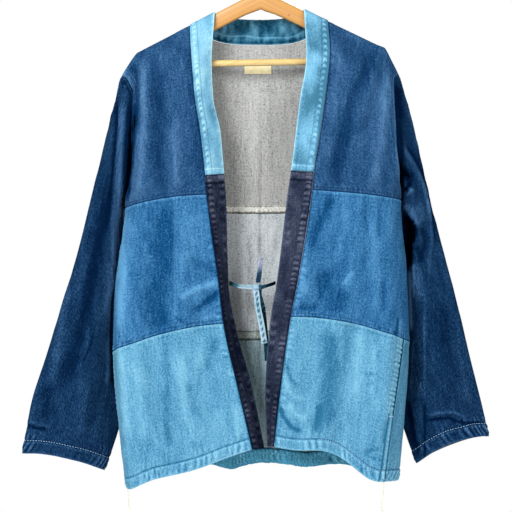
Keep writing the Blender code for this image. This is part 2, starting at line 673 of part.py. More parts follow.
def tape(name, route, finish):
    """A flat tie through its route's points, as a strip with a wall."""
    points = np.array([row[0] for row in route])
    widths = np.array([row[1] for row in route], float)
    steps = np.concatenate([[0], np.cumsum(np.linalg.norm(np.diff(points, axis=0), axis=1))])
    table = np.column_stack([steps, points, widths])

    def form(across, along):
        at = smooth_table(table, along * steps[-1])
        return at[:3] + at[3:] / np.linalg.norm(at[3:]) * TAPE_WIDTH * (across - 0.5)

    cloth(name, form, (0, 0.5, 1), np.linspace(0, 1, 3 * len(route) - 2), TAPE_CLOTH, finish)


def knot(finish):
    bm = bmesh.new()
    bmesh.ops.create_icosphere(bm, subdivisions=2, radius=0.5)
    bmesh.ops.scale(bm, vec=KNOT_SIZE, verts=bm.verts)
    bmesh.ops.translate(bm, vec=KNOT_CENTRE, verts=bm.verts)
    mesh = bpy.data.meshes.new("tie_knot")
    bm.to_mesh(mesh)
    bm.free()
    add_object("tie_knot", mesh, finish)


def label(finish):
    """Sewn on the inside of the back, under the neck."""
    clear = DENIM / 2 + GAP + LABEL_CLOTH / 2 + LABEL_LOOSE
    back = [
        body_point(side, where, level)
        for side in ("right", "left")
        for where in np.linspace(1.85, 2.0, 16)
        for level in np.linspace(0.02, 0.08, 31)
    ]

    def form(across, down):
        x = mix(*LABEL_X, across)
        z = mix(*LABEL_Z, down)
        near = min(back, key=lambda point: math.hypot(point[0] - x, point[2] - z))
        return np.array([x, near[1] - clear, z])

    cloth("label", form, np.linspace(0, 1, 7), np.linspace(0, 1, 3), LABEL_CLOTH, finish)


def tube(name, points, radius, finish):
    curve = bpy.data.curves.new(name, "CURVE")
    curve.dimensions = "3D"
    curve.bevel_depth = radius
    curve.bevel_resolution = 2
    curve.use_fill_caps = True
    line = curve.splines.new("POLY")
    line.points.add(len(points) - 1)
    for point, place in zip(line.points, points):
        point.co = (*place, 1.0)
    return add_object(name, curve, finish)


def smooth_route(points, count):
    """Evenly spaced points on a smooth curve through these."""
    points = np.asarray(points, float)
    steps = np.concatenate([[0], np.cumsum(np.linalg.norm(np.diff(points, axis=0), axis=1))])
    table = np.column_stack([steps, points])
    return [smooth_table(table, at) for at in np.linspace(0, steps[-1], count)]


def hanger_arms(finish):
    """Two sloping boards joined in the middle, thinner towards the tips."""
    xs = np.linspace(-ARM_X, ARM_X, 25)
    bm = bmesh.new()
    bmesh.ops.create_cube(bm, size=1)
    for place in np.linspace(-0.5, 0.5, len(xs))[1:-1]:
        bmesh.ops.bisect_plane(
            bm, geom=bm.verts[:] + bm.edges[:] + bm.faces[:], plane_no=(1, 0, 0), plane_co=(place, 0, 0)
        )
    for vert in bm.verts:
        x = 2 * ARM_X * vert.co.x
        height = mix(ARM_HEIGHT, TIP_HEIGHT, ease((abs(x) - 0.12) / (ARM_X - 0.12)))
        top = arm_top(x) - 0.004 * bump(x, 0.02)
        z = top if vert.co.z > 0 else top - height
        vert.co = (x, ARM_THICK * vert.co.y, z)
    mesh = bpy.data.meshes.new("hanger_arms")
    bm.to_mesh(mesh)
    bm.free()
    board = add_object("hanger_arms", mesh, finish)
    edge = board.modifiers.new("Rounded", "BEVEL")
    edge.width = ARM_ROUND
    edge.segments = 2
    edge.limit_method = "ANGLE"
    edge.angle_limit = math.radians(60)


def hanger_bar(finish):
    ends = [(sign * BAR_X, 0, BAR_Z + HANG_TILT * sign * BAR_X) for sign in (-1, 1)]
    tube("hanger_bar", ends, BAR_RADIUS, finish).data.bevel_resolution = 3


def hanger_hook(finish):
    """A wire hook, open to the wearer's right, with its shank in the top of the arms."""
    radius = HOOK_INSIDE + HOOK_WIRE
    round_part = [
        (radius * math.cos(angle), 0, radius * math.sin(angle) - HOOK_INSIDE)
        for angle in np.radians(np.linspace(205, -50, 18))
    ]
    bend = [(0.0065, 0, -0.0430), (0.0015, 0, -0.0490), (0, 0, -0.0560), (0, 0, SHANK_Z)]
    tube("hanger_hook", round_part + bend, HOOK_WIRE, finish)


for old in list(bpy.data.objects):
    bpy.data.objects.remove(old)
jacket = bpy.data.collections.new("patchwork_jacket")
bpy.context.scene.collection.children.link(jacket)

for side in ("right", "left"):
    front_panel(f"front_upper_{side}", side, SHOULDER, CHEST_SEAM, 11, UPPER_ROWS, DARK_DENIM)
    front_panel(f"front_middle_{side}", side, CHEST_SEAM, WAIST_SEAM, 11, 7, MID_DENIM)
    front_panel(f"front_lower_{side}", side, WAIST_SEAM, HEM, 11, 7, PALE_DENIM)
    front_band(f"band_upper_{side}", side, SHOULDER, BAND_JOINT, 11, BAND_DENIM)
    front_band(f"band_lower_{side}", side, BAND_JOINT, HEM, 14, BLACK_DENIM)
    sleeve(side, SLEEVE_DENIM)
back_panel("back_upper", SHOULDER, CHEST_SEAM, UPPER_ROWS, DARK_DENIM)
back_panel("back_middle", CHEST_SEAM, WAIST_SEAM, 6, MID_DENIM)
back_panel("back_lower", WAIST_SEAM, HEM, 6, PALE_DENIM)
neck_band(NECK_DENIM)
for name, route in TIES.items():
    tape(name, route, TIE_DENIM)
knot(TIE_DENIM)
label(LABEL_COTTON)
for name, points in THREADS.items():
    tube(name, smooth_route(points, 14), THREAD / 2, CREAM_THREAD)
hanger_arms(VARNISHED_WOOD)
hanger_bar(VARNISHED_WOOD)
hanger_hook(HOOK_STEEL)
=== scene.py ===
"""A colour-blocked denim jacket, cut like a farmer's noragi, on a wooden coat hanger.

Metres, +Z up, the jacket's front towards -Y, the origin at the inner top of the hook. "right" and
"left" are the wearer's, so the right side is at -X. Each cloth piece is a fine grid on the form
of its solid, pushed in and out by its creases, hems and puckers, with a thin wall and a colour
into which the light and shade of those creases and puckers is painted.
"""

import math

import bmesh
import bpy
import numpy as np
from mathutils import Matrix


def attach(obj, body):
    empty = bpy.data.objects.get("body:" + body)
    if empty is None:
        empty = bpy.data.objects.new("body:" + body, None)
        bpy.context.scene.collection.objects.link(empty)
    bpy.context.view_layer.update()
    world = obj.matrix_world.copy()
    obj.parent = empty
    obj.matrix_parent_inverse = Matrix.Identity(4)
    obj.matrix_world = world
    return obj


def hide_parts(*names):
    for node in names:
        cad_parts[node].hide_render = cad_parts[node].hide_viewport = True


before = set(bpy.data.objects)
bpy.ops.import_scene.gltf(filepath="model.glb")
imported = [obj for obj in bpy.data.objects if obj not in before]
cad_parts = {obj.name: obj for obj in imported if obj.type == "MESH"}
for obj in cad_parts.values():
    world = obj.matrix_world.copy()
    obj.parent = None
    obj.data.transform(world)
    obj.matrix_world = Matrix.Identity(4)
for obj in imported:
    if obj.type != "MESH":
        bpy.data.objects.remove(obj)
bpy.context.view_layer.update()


# ---------------------------------------------------------------------------------------------
# Studio. White surroundings, a pale round floor under the jacket, a camera level with the
# jacket's middle, and large soft lights: one in front beyond each shoulder and one behind.
FLOOR_Z = -1.25
FLOOR_RADIUS = 0.80
CAMERA_AT = (-0.00792, -2.4, -0.54384)
CAMERA_LENS = 95.88
FLOOR_COLOUR = (0.80, 0.80, 0.80)
LIGHTS_FACE = (0, 0, -0.5)
SOFT_LIGHTS = (  # name, place, how wide, and its power
    ("Light_key", (-1.5, -2.6, 0.75), 1.7, 270),
    ("Light_fill", (1.9, -2.4, 0.1), 2.0, 95),
    ("Light_back", (0.8, 2.8, 0.5), 2.0, 200),
)

scene = bpy.context.scene
scene.view_settings.view_transform = "Standard"

world = bpy.data.worlds.new("Studio")
world.use_nodes = True
surroundings = world.node_tree.nodes["Background"].inputs
surroundings["Color"].default_value = (1, 1, 1, 1)
surroundings["Strength"].default_value = 1.0
scene.world = world


def point_at(obj, place, target):
    """Stands a camera or a light here, facing the target."""
    obj.location = place
    away = np.subtract(target, place)
    flat = math.hypot(away[0], away[1])
    obj.rotation_euler = (math.atan2(flat, -away[2]), 0, math.atan2(-away[0], away[1]))
    scene.collection.objects.link(obj)


for name, place, size, power in SOFT_LIGHTS:
    lamp = bpy.data.lights.new(name, "AREA")
    lamp.shape = "DISK"
    lamp.size = size
    lamp.energy = power
    point_at(bpy.data.objects.new(name, lamp), place, LIGHTS_FACE)

lens = bpy.data.cameras.new("Camera")
lens.lens = CAMERA_LENS
camera = bpy.data.objects.new("Camera", lens)
point_at(camera, CAMERA_AT, (CAMERA_AT[0], 0, CAMERA_AT[2]))
scene.camera = camera


class Field:
    """A shader socket that can be added, multiplied and compared."""

    def __init__(self, paint, socket):
        self.paint, self.socket = paint, socket

    def maths(self, operation, *values):
        return self.paint.node("ShaderNodeMath", {"operation": operation}, dict(enumerate(values)))

    def __add__(self, other):
        return self.maths("ADD", self, other)

    __radd__ = __add__

    def __mul__(self, other):
        return self.maths("MULTIPLY", self, other)

    __rmul__ = __mul__

    def __sub__(self, other):
        return self.maths("SUBTRACT", self, other)

    def __rsub__(self, other):
        return self.maths("SUBTRACT", other, self)

    def __truediv__(self, other):
        return self.maths("DIVIDE", self, other)

    def above(self, low, high):
        """From 0 at low to 1 at high, smoothly."""
        return self.paint.node("ShaderNodeMapRange", {"interpolation_type": "SMOOTHSTEP"},
                               {"Value": self, "From Min": low, "From Max": high})


class Paint:
    """A material and its nodes."""

    def __init__(self, name, roughness=0.9, metallic=0.0):
        self.material = bpy.data.materials.new(name)
        self.material.use_nodes = True
        self.tree = self.material.node_tree
        self.shader = self.tree.nodes["Principled BSDF"]
        self.set("Roughness", roughness)
        self.set("Metallic", metallic)

    def join(self, value, socket):
        """Links another node to a socket, or gives it a value."""
        if isinstance(value, Field):
            self.tree.links.new(value.socket, socket)
        elif isinstance(value, tuple) and len(value) == 3 and socket.type == "RGBA":
            socket.default_value = (*value, 1.0)
        else:
            socket.default_value = value

    def set(self, name, value):
        self.join(value, self.shader.inputs[name])

    def node(self, kind, settings=None, sockets=None, out=0):
        """Any node, from its type, its settings and what goes into its sockets."""
        node = self.tree.nodes.new(kind)
        for key, value in (settings or {}).items():
            setattr(node, key, value)
        for key, value in (sockets or {}).items():
            self.join(value, node.inputs[key])
        return Field(self, node.outputs[out])

    def scaled(self, vector, by):
        return self.node("ShaderNodeVectorMath", {"operation": "MULTIPLY"}, {0: vector, 1: by})

    def noise(self, vector, by, detail=0.0):
        """Smooth random values from 0 to 1, by so many cells a metre along each axis."""
        return self.node("ShaderNodeTexNoise", None,
                         {"Vector": self.scaled(vector, by), "Scale": 1.0, "Detail": detail})

    def mixed(self, factor, low, high):
        """From one colour to another."""
        return self.node("ShaderNodeMix", {"data_type": "RGBA"}, {0: factor, 6: low, 7: high}, out=2)

    def bump(self, height, distance, strength=1.0):
        self.set("Normal", self.node("ShaderNodeBump", None,
                                     {"Height": height, "Distance": distance, "Strength": strength}))


def shade(r, g, b, light=1.0):
    """A colour seen on a screen, 0 to 255, as the reflectance that gives it under this much light."""
    linear = [c / 255 / 12.92 if c <= 10 else ((c / 255 + 0.055) / 1.055) ** 2.4 for c in (r, g, b)]
    return tuple(c / light for c in linear)


def add_object(name, data, *paints):
    """Puts a mesh or a curve into the scene with its materials."""
    obj = bpy.data.objects.new(name, data)
    for paint in paints:
        obj.data.materials.append(paint.material)
    scene.collection.objects.link(obj)
    return obj


def finished(obj, slot, *nodes):
    """The piece hangs from the hanger's body and stands for these solids, which are hidden. The slot is not
    used.
    """
    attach(obj, "root")
    if nodes:
        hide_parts(*nodes)
    return obj


def mesh_of(name, bm):
    """A smooth mesh from what the bmesh operators made."""
    mesh = bpy.data.meshes.new(name)
    bm.to_mesh(mesh)
    bm.free()
    mesh.shade_smooth()
    return mesh


bm = bmesh.new()
bmesh.ops.create_circle(bm, cap_ends=True, segments=96, radius=FLOOR_RADIUS)
bmesh.ops.translate(bm, vec=(0, 0, FLOOR_Z), verts=bm.verts)
floor_paint = Paint("Floor")
floor_paint.set("Base Color", FLOOR_COLOUR)
add_object("Floor", mesh_of("Floor", bm), floor_paint)


# ---------------------------------------------------------------------------------------------
# Coat hanger. Two sloping boards of varnished wood joined in the middle, a round bar between
# them, and a wire hook screwed into the top.
APEX_Z = -0.0760
APEX_DIP, APEX_DIP_WIDTH = 0.004, 0.02
ARM_SLOPE = 0.4985
HANG_TILT = 0.0195
ARM_HEIGHT = 0.030
ARM_THICK = 0.011
ARM_ROUND = 0.0045
ARM_X = 0.2080
ARM_PARTS = 60
ARM_TAPER_X = 0.12  # the arms grow lower from here to their tips
TIP_X = 0.2165
TIP_HEIGHT = 0.0262
BAR_RADIUS = 0.006
BAR_X = 0.1905
BAR_Z = -0.2035
HOOK_INSIDE = 0.020
HOOK_WIRE = 0.0020
HOOK_TURN = (205, -50)  # from its open end over the top to its neck, in degrees
HOOK_NECK = ((0.0065, 0, -0.0430), (0.0015, 0, -0.0490), (0, 0, -0.0560))
STEEL_COLOUR = (0.75, 0.75, 0.76)
SHANK_Z = -0.0796
WOOD_KNOT = (0.0500, 0.0, -0.1205)
LIT_WOOD = 3.6  # light that reaches the arms
LIT_BAR = 3.0
WOOD = shade(240, 178, 74, LIT_WOOD)
WOOD_DARK = shade(198, 118, 46, LIT_WOOD)
BAR_WOOD = shade(246, 214, 138, LIT_BAR)
BAR_DARK = shade(214, 166, 84, LIT_BAR)


def mix(a, b, t):
    return a + (b - a) * t


def ease(t):
    """From 0 to 1, starting and stopping gently."""
    t = np.clip(t, 0.0, 1.0)
    return t * t * (3 - 2 * t)


def bump(distance, width):
    """1 at no distance, fading to nothing over about twice the width."""
    return np.exp(-((distance / width) ** 2))


def arm_top(x):
    """The height of the arms' upper edge."""
    return APEX_Z - ARM_SLOPE * np.abs(x) + HANG_TILT * x


def varnished(name, pale, dark):
    """Wood under a thin varnish, its grain running along the sloping arms, with one knot."""
    wood = Paint(name, roughness=0.32)
    place = wood.node("ShaderNodeTexCoord", out=3)
    parts = wood.node("ShaderNodeSeparateXYZ", None, {0: place}).socket.node.outputs
    x, y, z = (Field(wood, part) for part in parts)
    along_arm = wood.node("ShaderNodeCombineXYZ", None, {
        0: x, 1: y, 2: z + x.maths("ABSOLUTE", x) * ARM_SLOPE,
    })
    grain = wood.noise(along_arm, (14.0, 500.0, 700.0), 3.0)
    streak = wood.noise(along_arm, (5.0, 60.0, 160.0), 1.0)
    knot_far = wood.node("ShaderNodeVectorMath", {"operation": "DISTANCE"}, {
        0: wood.scaled(place, (1.0, 0.0, 1.5)),
        1: (WOOD_KNOT[0], 0.0, WOOD_KNOT[2] * 1.5),
    }, out=1)
    tone = (grain - 0.5) * 0.7 + (streak - 0.5) * 0.9 + 0.30
    tone = tone + (1.0 - knot_far.above(0.0012, 0.0030)) * 1.6
    wood.set("Base Color", wood.mixed(tone, pale, dark))
    wood.set("Coat Weight", 0.35)
    wood.bump(grain, 0.0003, 0.4)
    return wood


arm_wood = varnished("Varnished_wood", WOOD, WOOD_DARK)
bar_wood = varnished("Varnished_bar", BAR_WOOD, BAR_DARK)

bm = bmesh.new()
bmesh.ops.create_cube(bm, size=1)
for place in np.linspace(-0.5, 0.5, ARM_PARTS + 1)[1:-1]:
    bmesh.ops.bisect_plane(
        bm, geom=bm.verts[:] + bm.edges[:] + bm.faces[:], plane_no=(1, 0, 0), plane_co=(place, 0, 0)
    )
for vert in bm.verts:
    x = 2 * ARM_X * vert.co.x
    height = mix(ARM_HEIGHT, TIP_HEIGHT, ease((abs(x) - ARM_TAPER_X) / (ARM_X - ARM_TAPER_X)))
    top = arm_top(x) - APEX_DIP * bump(x, APEX_DIP_WIDTH)
    vert.co = (x, ARM_THICK * vert.co.y, top if vert.co.z > 0 else top - height)
arms = add_object("Hanger_arms", mesh_of("Hanger_arms", bm), arm_wood)
edge = arms.modifiers.new("Rounded", "BEVEL")
edge.width = ARM_ROUND
edge.segments = 5
edge.limit_method = "ANGLE"
edge.angle_limit = math.radians(60)
finished(arms, "varnished_wood", "hanger_arms")


def tube(name, points, radius, paint, sides=6):
    """A round rod, wire or thread through these points."""
    curve = bpy.data.curves.new(name, "CURVE")
    curve.dimensions = "3D"
    curve.bevel_depth = radius
    curve.bevel_resolution = sides
    curve.use_fill_caps = True
    line = curve.splines.new("POLY")
    line.points.add(len(points) - 1)
    for point, place in zip(line.points, points):
        point.co = (*place, 1.0)
    line.use_smooth = True
    return add_object(name, curve, paint)


bar_ends = [(sign * BAR_X, 0, BAR_Z + HANG_TILT * sign * BAR_X) for sign in (-1, 1)]
finished(tube("Hanger_bar", bar_ends, BAR_RADIUS, bar_wood, 10), "varnished_wood", "hanger_bar")

steel = Paint("Hook_steel", roughness=0.22, metallic=1.0)
steel.set("Base Color", STEEL_COLOUR)
wire_turn = HOOK_INSIDE + HOOK_WIRE
hook_points = [
    (wire_turn * math.cos(angle), 0, wire_turn * math.sin(angle) - HOOK_INSIDE)
    for angle in np.radians(np.linspace(*HOOK_TURN, 52))
]
hook_points += [*HOOK_NECK, (0, 0, SHANK_Z)]
finished(tube("Hanger_hook", hook_points, HOOK_WIRE, steel), "hook_steel", "hanger_hook")


# ---------------------------------------------------------------------------------------------
# Body. Three blocks of denim down each front and down the back: dark, mid and pale. They meet in
# felled seams, the sides are joined below the armholes, and the hem is turned up and stitched.
DENIM = 0.0016  # thickness of the cloth
GAP = 0.0003  # between cloths that lie on each other, or meet in a seam
SEAM_STEP = 0.0014  # what a panel leaves free at its upright seams, as a part of its width
SHOULDER_GAP = 0.0008  # how far from the shoulder line the panels begin
CORNER_GAP = 0.0010  # what is added to that past the hanger's tip
SHOULDER_CLEAR = 0.0009  # how far in front of the line, or behind it, the cloth by its seam lies
CLOTH_SEAT = (GAP + DENIM / 2) * math.hypot(1, ARM_SLOPE)  # height above the hanger's arm
NECK_DEPTH = 0.042
NECK_Z = -0.1665
NECK_FADE = 0.30  # how far down the back the neckline's curve still shows
SHOULDER, CHEST_SEAM, WAIST_SEAM, HEM = 0.0, 0.300, 0.525, 0.745  # levels, down from the shoulder
FOLD_ROUND = 0.055  # how much of the side's width its rounding takes, in front and behind
BACK_ROUND = 0.080
HEM_WIDTH = 0.020
JOINT_STITCH = 0.0062  # from a joint up to its row of stitches
POCKET_LOW = 0.134  # how far down the lower front the left pocket's opening ends
SIGN = {"right": -1, "left": 1}
SIDES = tuple(SIGN)

# One row for each level of a front: the level, x, y and z of the seam to the band, x of the side
# fold, y of the front and z of the side, the edge, and how far the level's line bows upwards. x is
# the distance from the middle. The edge is where the front panel ends on its way round the side,
# in degrees: below the underarm 90 is the fold itself, and above it the panel ends at the armhole.
FRONTS = {
    "right": (
        (0.000, 0.1240, 0.0000, -0.1378, 0.2460, 0.0000, -0.2310, 90, 0.000),
        (0.002, 0.1240, -0.0027, -0.1382, 0.2459, -0.0027, -0.2314, 84, 0.000),
        (0.006, 0.1240, -0.0072, -0.1395, 0.2456, -0.0070, -0.2327, 74, 0.000),
        (0.014, 0.1238, -0.0110, -0.1480, 0.2445, -0.0105, -0.2390, 66, 0.000),
        (0.060, 0.1200, -0.0330, -0.2030, 0.2440, -0.0300, -0.2580, 48, 0.000),
        (0.130, 0.1140, -0.0400, -0.2700, 0.2446, -0.0420, -0.2990, 40, 0.000),
        (0.187, 0.1050, -0.0430, -0.3260, 0.2448, -0.0460, -0.3430, 39, 0.000),
        (0.265, 0.0960, -0.0450, -0.4040, 0.2380, -0.0480, -0.4200, 57, 0.003),
        (0.300, 0.0930, -0.0460, -0.4380, 0.2370, -0.0480, -0.4600, 90, 0.005),
        (0.457, 0.0720, -0.0460, -0.5940, 0.2560, -0.0500, -0.6180, 90, 0.006),
        (0.525, 0.0640, -0.0460, -0.6610, 0.2585, -0.0500, -0.7110, 90, 0.010),
        (0.640, 0.0390, -0.0470, -0.7720, 0.2495, -0.0500, -0.8310, 90, 0.004),
        (0.745, 0.0140, -0.0470, -0.8770, 0.2370, -0.0480, -0.9380, 90, 0.000),
    ),
    "left": (
        (0.000, 0.1190, 0.0000, -0.1306, 0.2450, 0.0000, -0.2300, 90, 0.000),
        (0.002, 0.1190, -0.0027, -0.1310, 0.2450, -0.0027, -0.2304, 84, 0.000),
        (0.006, 0.1190, -0.0072, -0.1323, 0.2449, -0.0070, -0.2317, 74, 0.000),
        (0.014, 0.1192, -0.0110, -0.1410, 0.2445, -0.0105, -0.2380, 66, 0.000),
        (0.060, 0.1210, -0.0330, -0.1850, 0.2470, -0.0300, -0.2580, 48, 0.000),
        (0.130, 0.1120, -0.0400, -0.2700, 0.2526, -0.0420, -0.2990, 40, 0.000),
        (0.187, 0.1040, -0.0430, -0.3260, 0.2548, -0.0460, -0.3430, 39, 0.000),
        (0.265, 0.0920, -0.0450, -0.3990, 0.2490, -0.0480, -0.4120, 57, 0.001),
        (0.300, 0.0890, -0.0460, -0.4300, 0.2460, -0.0480, -0.4460, 90, 0.002),
        (0.457, 0.0630, -0.0470, -0.5940, 0.2580, -0.0500, -0.6070, 71, 0.006),
        (0.525, 0.0520, -0.0480, -0.6490, 0.2610, -0.0510, -0.6940, 50, 0.012),
        (0.640, 0.0340, -0.0490, -0.7750, 0.2520, -0.0520, -0.8240, 34, 0.006),
        (0.745, 0.0230, -0.0490, -0.8730, 0.2410, -0.0500, -0.9370, 27, 0.000),
    ),
}

# Level, y and z of the back's middle line, and how much of the shoulder line's shape it keeps
BACK = (
    (0.000, 0.0000, -0.1378, 1.00),
    (0.002, 0.0027, -0.1382, 1.00),
    (0.006, 0.0070, -0.1395, 1.00),
    (0.014, 0.0105, -0.1500, 0.98),
    (0.060, 0.0290, -0.2180, 0.60),
    (0.130, 0.0390, -0.2900, 0.22),
    (0.187, 0.0430, -0.3450, 0.08),
    (0.265, 0.0450, -0.4260, 0.00),
    (0.300, 0.0460, -0.4680, 0.00),
    (0.457, 0.0480, -0.6050, 0.00),
    (0.525, 0.0490, -0.6940, 0.00),
    (0.640, 0.0500, -0.8000, 0.00),
    (0.745, 0.0500, -0.9150, 0.00),
)

# The large soft folds of the body: where each lies at its top and at its foot, the levels of the
# two, its half width, and how far it stands out. Where is the fraction of the way from the band to
# the side fold, or beyond 1 from the fold to the middle of the back.
FOLDS = {
    "right": (
        (0.72, 0.80, 0.03, 0.27, 0.012, -0.0080),
        (0.52, 0.62, 0.02, 0.34, 0.030, 0.0040),
        (0.30, 0.26, 0.22, 0.56, 0.030, 0.0050),
        (0.60, 0.52, 0.32, 0.80, 0.028, -0.0060),
        (0.20, 0.22, 0.46, 0.80, 0.026, -0.0050),
        (0.78, 0.82, 0.40, 0.80, 0.024, 0.0070),
        (1.35, 1.30, 0.12, 0.60, 0.030, 0.0060),
        (1.55, 1.52, 0.30, 0.80, 0.022, -0.0080),
        (1.78, 1.80, 0.38, 0.80, 0.024, 0.0110),
        (1.97, 1.97, 0.04, 0.80, 0.022, -0.0030),
    ),
    "left": (
        (0.74, 0.40, 0.00, 0.22, 0.026, -0.0060),
        (0.84, 0.78, 0.06, 0.30, 0.022, 0.0040),
        (0.46, 0.44, 0.24, 0.56, 0.030, 0.0050),
        (0.18, 0.22, 0.36, 0.72, 0.028, -0.0040),
        (0.48, 0.46, 0.44, 0.80, 0.028, -0.0080),
        (0.70, 0.72, 0.46, 0.80, 0.026, 0.0090),
        (1.32, 1.34, 0.10, 0.60, 0.032, 0.0060),
        (1.52, 1.50, 0.34, 0.80, 0.024, -0.0080),
        (1.72, 1.70, 0.42, 0.80, 0.022, 0.0080),
        (1.86, 1.84, 0.36, 0.80, 0.018, -0.0070),
    ),
}

# How the hem rises and dips along those fractions: where, half width and height
HEM_WAVES = {
    "right": ((0.45, 0.30, -0.009), (0.86, 0.12, -0.013), (1.50, 0.14, 0.006), (1.80, 0.10, -0.011)),
    "left": ((0.38, 0.20, 0.018), (0.68, 0.12, -0.009), (1.45, 0.14, 0.006), (1.70, 0.10, -0.006)),
}


def table_at(rows, at):
    """Every column of a table at these values of its first one, by a cubic that never overshoots."""
    table = np.asarray(rows, float)
    key, values = table[:, 0], table[:, 1:]
    step = np.diff(key)[:, None]
    slope = np.diff(values, axis=0) / step
    same = slope[1:] * slope[:-1] > 0
    mean = np.where(same, 2 * slope[1:] * slope[:-1] / np.where(same, slope[1:] + slope[:-1], 1), 0)
    tangent = np.vstack([slope[:1], mean, slope[-1:]])
    at = np.asarray(at, float)
    i = np.clip(np.searchsorted(key, at) - 1, 0, len(key) - 2)
    h = step[i]
    t = (at - key[i])[..., None] / h
    return (
        values[i] * (1 + 2 * t) * (1 - t) ** 2
        + values[i + 1] * t * t * (3 - 2 * t)
        + tangent[i] * h * t * (1 - t) ** 2
        - tangent[i + 1] * h * t * t * (1 - t)
    )


def columns_at(rows, at):
    """The same, as one array for each column."""
    return np.moveaxis(table_at(rows, at), -1, 0)


def quarter(across, deep):
    """Length of a quarter of an ellipse, near enough."""
    return math.pi / 2 * np.sqrt((across**2 + deep**2) / 2)


def round_side(part, start, fold_x, corner, deep):
    """x at this part of the way from the start, flat and then round the corner, to the side fold.

    With it come the angle turned so far, and the way gone as a part of the flat stretch.
    """
    flat = fold_x - corner - start
    turn = quarter(corner, deep)
    run = part * (flat + turn)
    angle = np.clip((run - flat) / turn, 0, 1) * math.pi / 2
    x = np.where(run < flat, start + run, fold_x - corner * (1 - np.sin(angle)))
    return x, angle, run / flat


def largest(*values):
    """The largest of these, rounded where one takes over from another."""
    return sum(value**6 for value in values) ** (1 / 6)


def shoulder_line(side, x, seat):
    """The cloth's height at the shoulder seam: on the arm, then falling past its tip."""
    row = FRONTS[side][0]
    tip = arm_top(SIGN[side] * TIP_X) + seat
    past = np.clip((x - TIP_X) / (row[4] - TIP_X), 0, None) ** 1.15
    return np.where(x <= TIP_X, arm_top(SIGN[side] * x) + seat, mix(tip, row[6], past))


def neckline(side, x, seat):
    """How far behind the shoulder line the back neckline lies at this x, and its height."""
    neck_x = FRONTS[side][0][1]
    behind = np.sqrt(np.clip(1 - (x / neck_x) ** 2, 0, None))
    start = shoulder_line(side, np.maximum(x, neck_x), seat)
    return NECK_DEPTH * behind, mix(start, NECK_Z, ease((behind - 0.22) / 0.78))


def body_point(side, where, level):
    """Points of the body. where is 0 at the band, 1 at the side fold and 2 in the middle of the back."""
    where, level = np.broadcast_arrays(np.asarray(where, float), np.asarray(level, float))
    seam_x, seam_y, seam_z, fold_x, front_y, side_z, _, bow = columns_at(FRONTS[side], level)
    back_y, back_z, kept = columns_at(BACK, level)
    middle_y = (front_y + back_y) / 2
    near_seam = SHOULDER_CLEAR * bump(level, 0.01) * (level < 0.03)

    deep = middle_y - front_y
    x, angle, run = round_side(where, seam_x, fold_x, FOLD_ROUND, deep)
    y = np.where(run < 1, mix(seam_y, front_y, ease(run)), middle_y - deep * np.cos(angle))
    y = np.where(near_seam > 0, -largest(np.clip(-y, 0, None), near_seam), y)
    part = (x - seam_x) / (fold_x - seam_x)
    z = mix(seam_z, side_z, part) + bow * 4 * part * (1 - part)
    chord = mix(FRONTS[side][0][3], FRONTS[side][0][6], part)
    z += kept * (shoulder_line(side, x, CLOTH_SEAT) - chord)
    front = np.stack([x, y, z, np.sin(angle), -np.cos(angle)])

    deep = back_y - middle_y
    x, angle, run = round_side(2 - where, 0, fold_x, BACK_ROUND, deep)
    y = np.where(run < 1, back_y, middle_y + deep * np.cos(angle))
    part = (x / fold_x) ** 2
    z = mix(back_z, side_z, part)
    chord = mix(BACK[0][2], FRONTS[side][0][6], part)
    behind, line = neckline(side, x, CLOTH_SEAT)
    behind = behind * (1 - ease(level / NECK_FADE))
    y = largest(np.clip(y, 0, None), behind, near_seam)
    z += kept * (line - chord)
    back = np.stack([x, y, z, np.sin(angle), np.cos(angle)])

    x, y, z, out_x, out_y = np.where(where <= 1, front, back)
    reach = fold_x + 0.1
    for where_top, where_low, top, low, width, depth in FOLDS[side]:
        along = (level - top) / (low - top)
        fold = depth * ease(along * 4) * ease((1 - along) * 4)
        fold = fold * bump((where - mix(where_top, where_low, along)) * reach, width)
        x = x + out_x * fold
        y = y + out_y * fold
    for centre, width, height in HEM_WAVES[side]:
        z = z + ease((level - WAIST_SEAM) / (HEM - WAIST_SEAM)) * height * bump(where - centre, width)
    return np.stack([SIGN[side] * x, y, z], axis=-1)


def side_where(side, level):
    """Where the front panel ends at this level: the armhole, or the side seam."""
    seam_x, _, _, fold_x, front_y, _, edge, _ = columns_at(FRONTS[side], level)
    turn = quarter(FOLD_ROUND, (front_y + columns_at(BACK, level)[0]) / 2 - front_y)
    flat = fold_x - FOLD_ROUND - seam_x
    return (flat + turn * edge / 90) / (flat + turn)


def armhole_back_where(side, level):
    """Where the back panel begins at this level above the underarm, as far round as the front ends."""
    _, _, _, fold_x, front_y, _, edge, _ = columns_at(FRONTS[side], level)
    back_y = columns_at(BACK, level)[0]
    turn = quarter(BACK_ROUND, back_y - (front_y + back_y) / 2)
    return 1 + turn * (1 - edge / 90) / (fold_x - BACK_ROUND + turn) * 0.8


def past_tip(part, level):
    """The shoulder seam's gap widens where it falls steeply past the hanger's tip."""
    return CORNER_GAP * ease((part - 0.75) / 0.25) * bump(level, 0.004)


CLOUD_CELLS = 64


def cloud(u, v, seed):
    """Smooth random values from -1 to 1, one for each unit cell."""
    values = np.random.default_rng(seed).uniform(-1, 1, (CLOUD_CELLS, CLOUD_CELLS))
    i, j = np.floor(u).astype(int), np.floor(v).astype(int)
    s, t = ease(u - i), ease(v - j)
    here, there = i % CLOUD_CELLS, (i + 1) % CLOUD_CELLS
    low, high = (mix(values[here, k % CLOUD_CELLS], values[there, k % CLOUD_CELLS], s) for k in (j, j + 1))
    return mix(low, high, t)


def uneven(along, seed, wander):
    """Counts puckers along a row of stitches, made longer and shorter by this wander."""
    return along + wander * cloud(along / 2.3, 0 * along, seed)


CREASE_HOLD = 0.010  # creases fade out this near a piece's edges


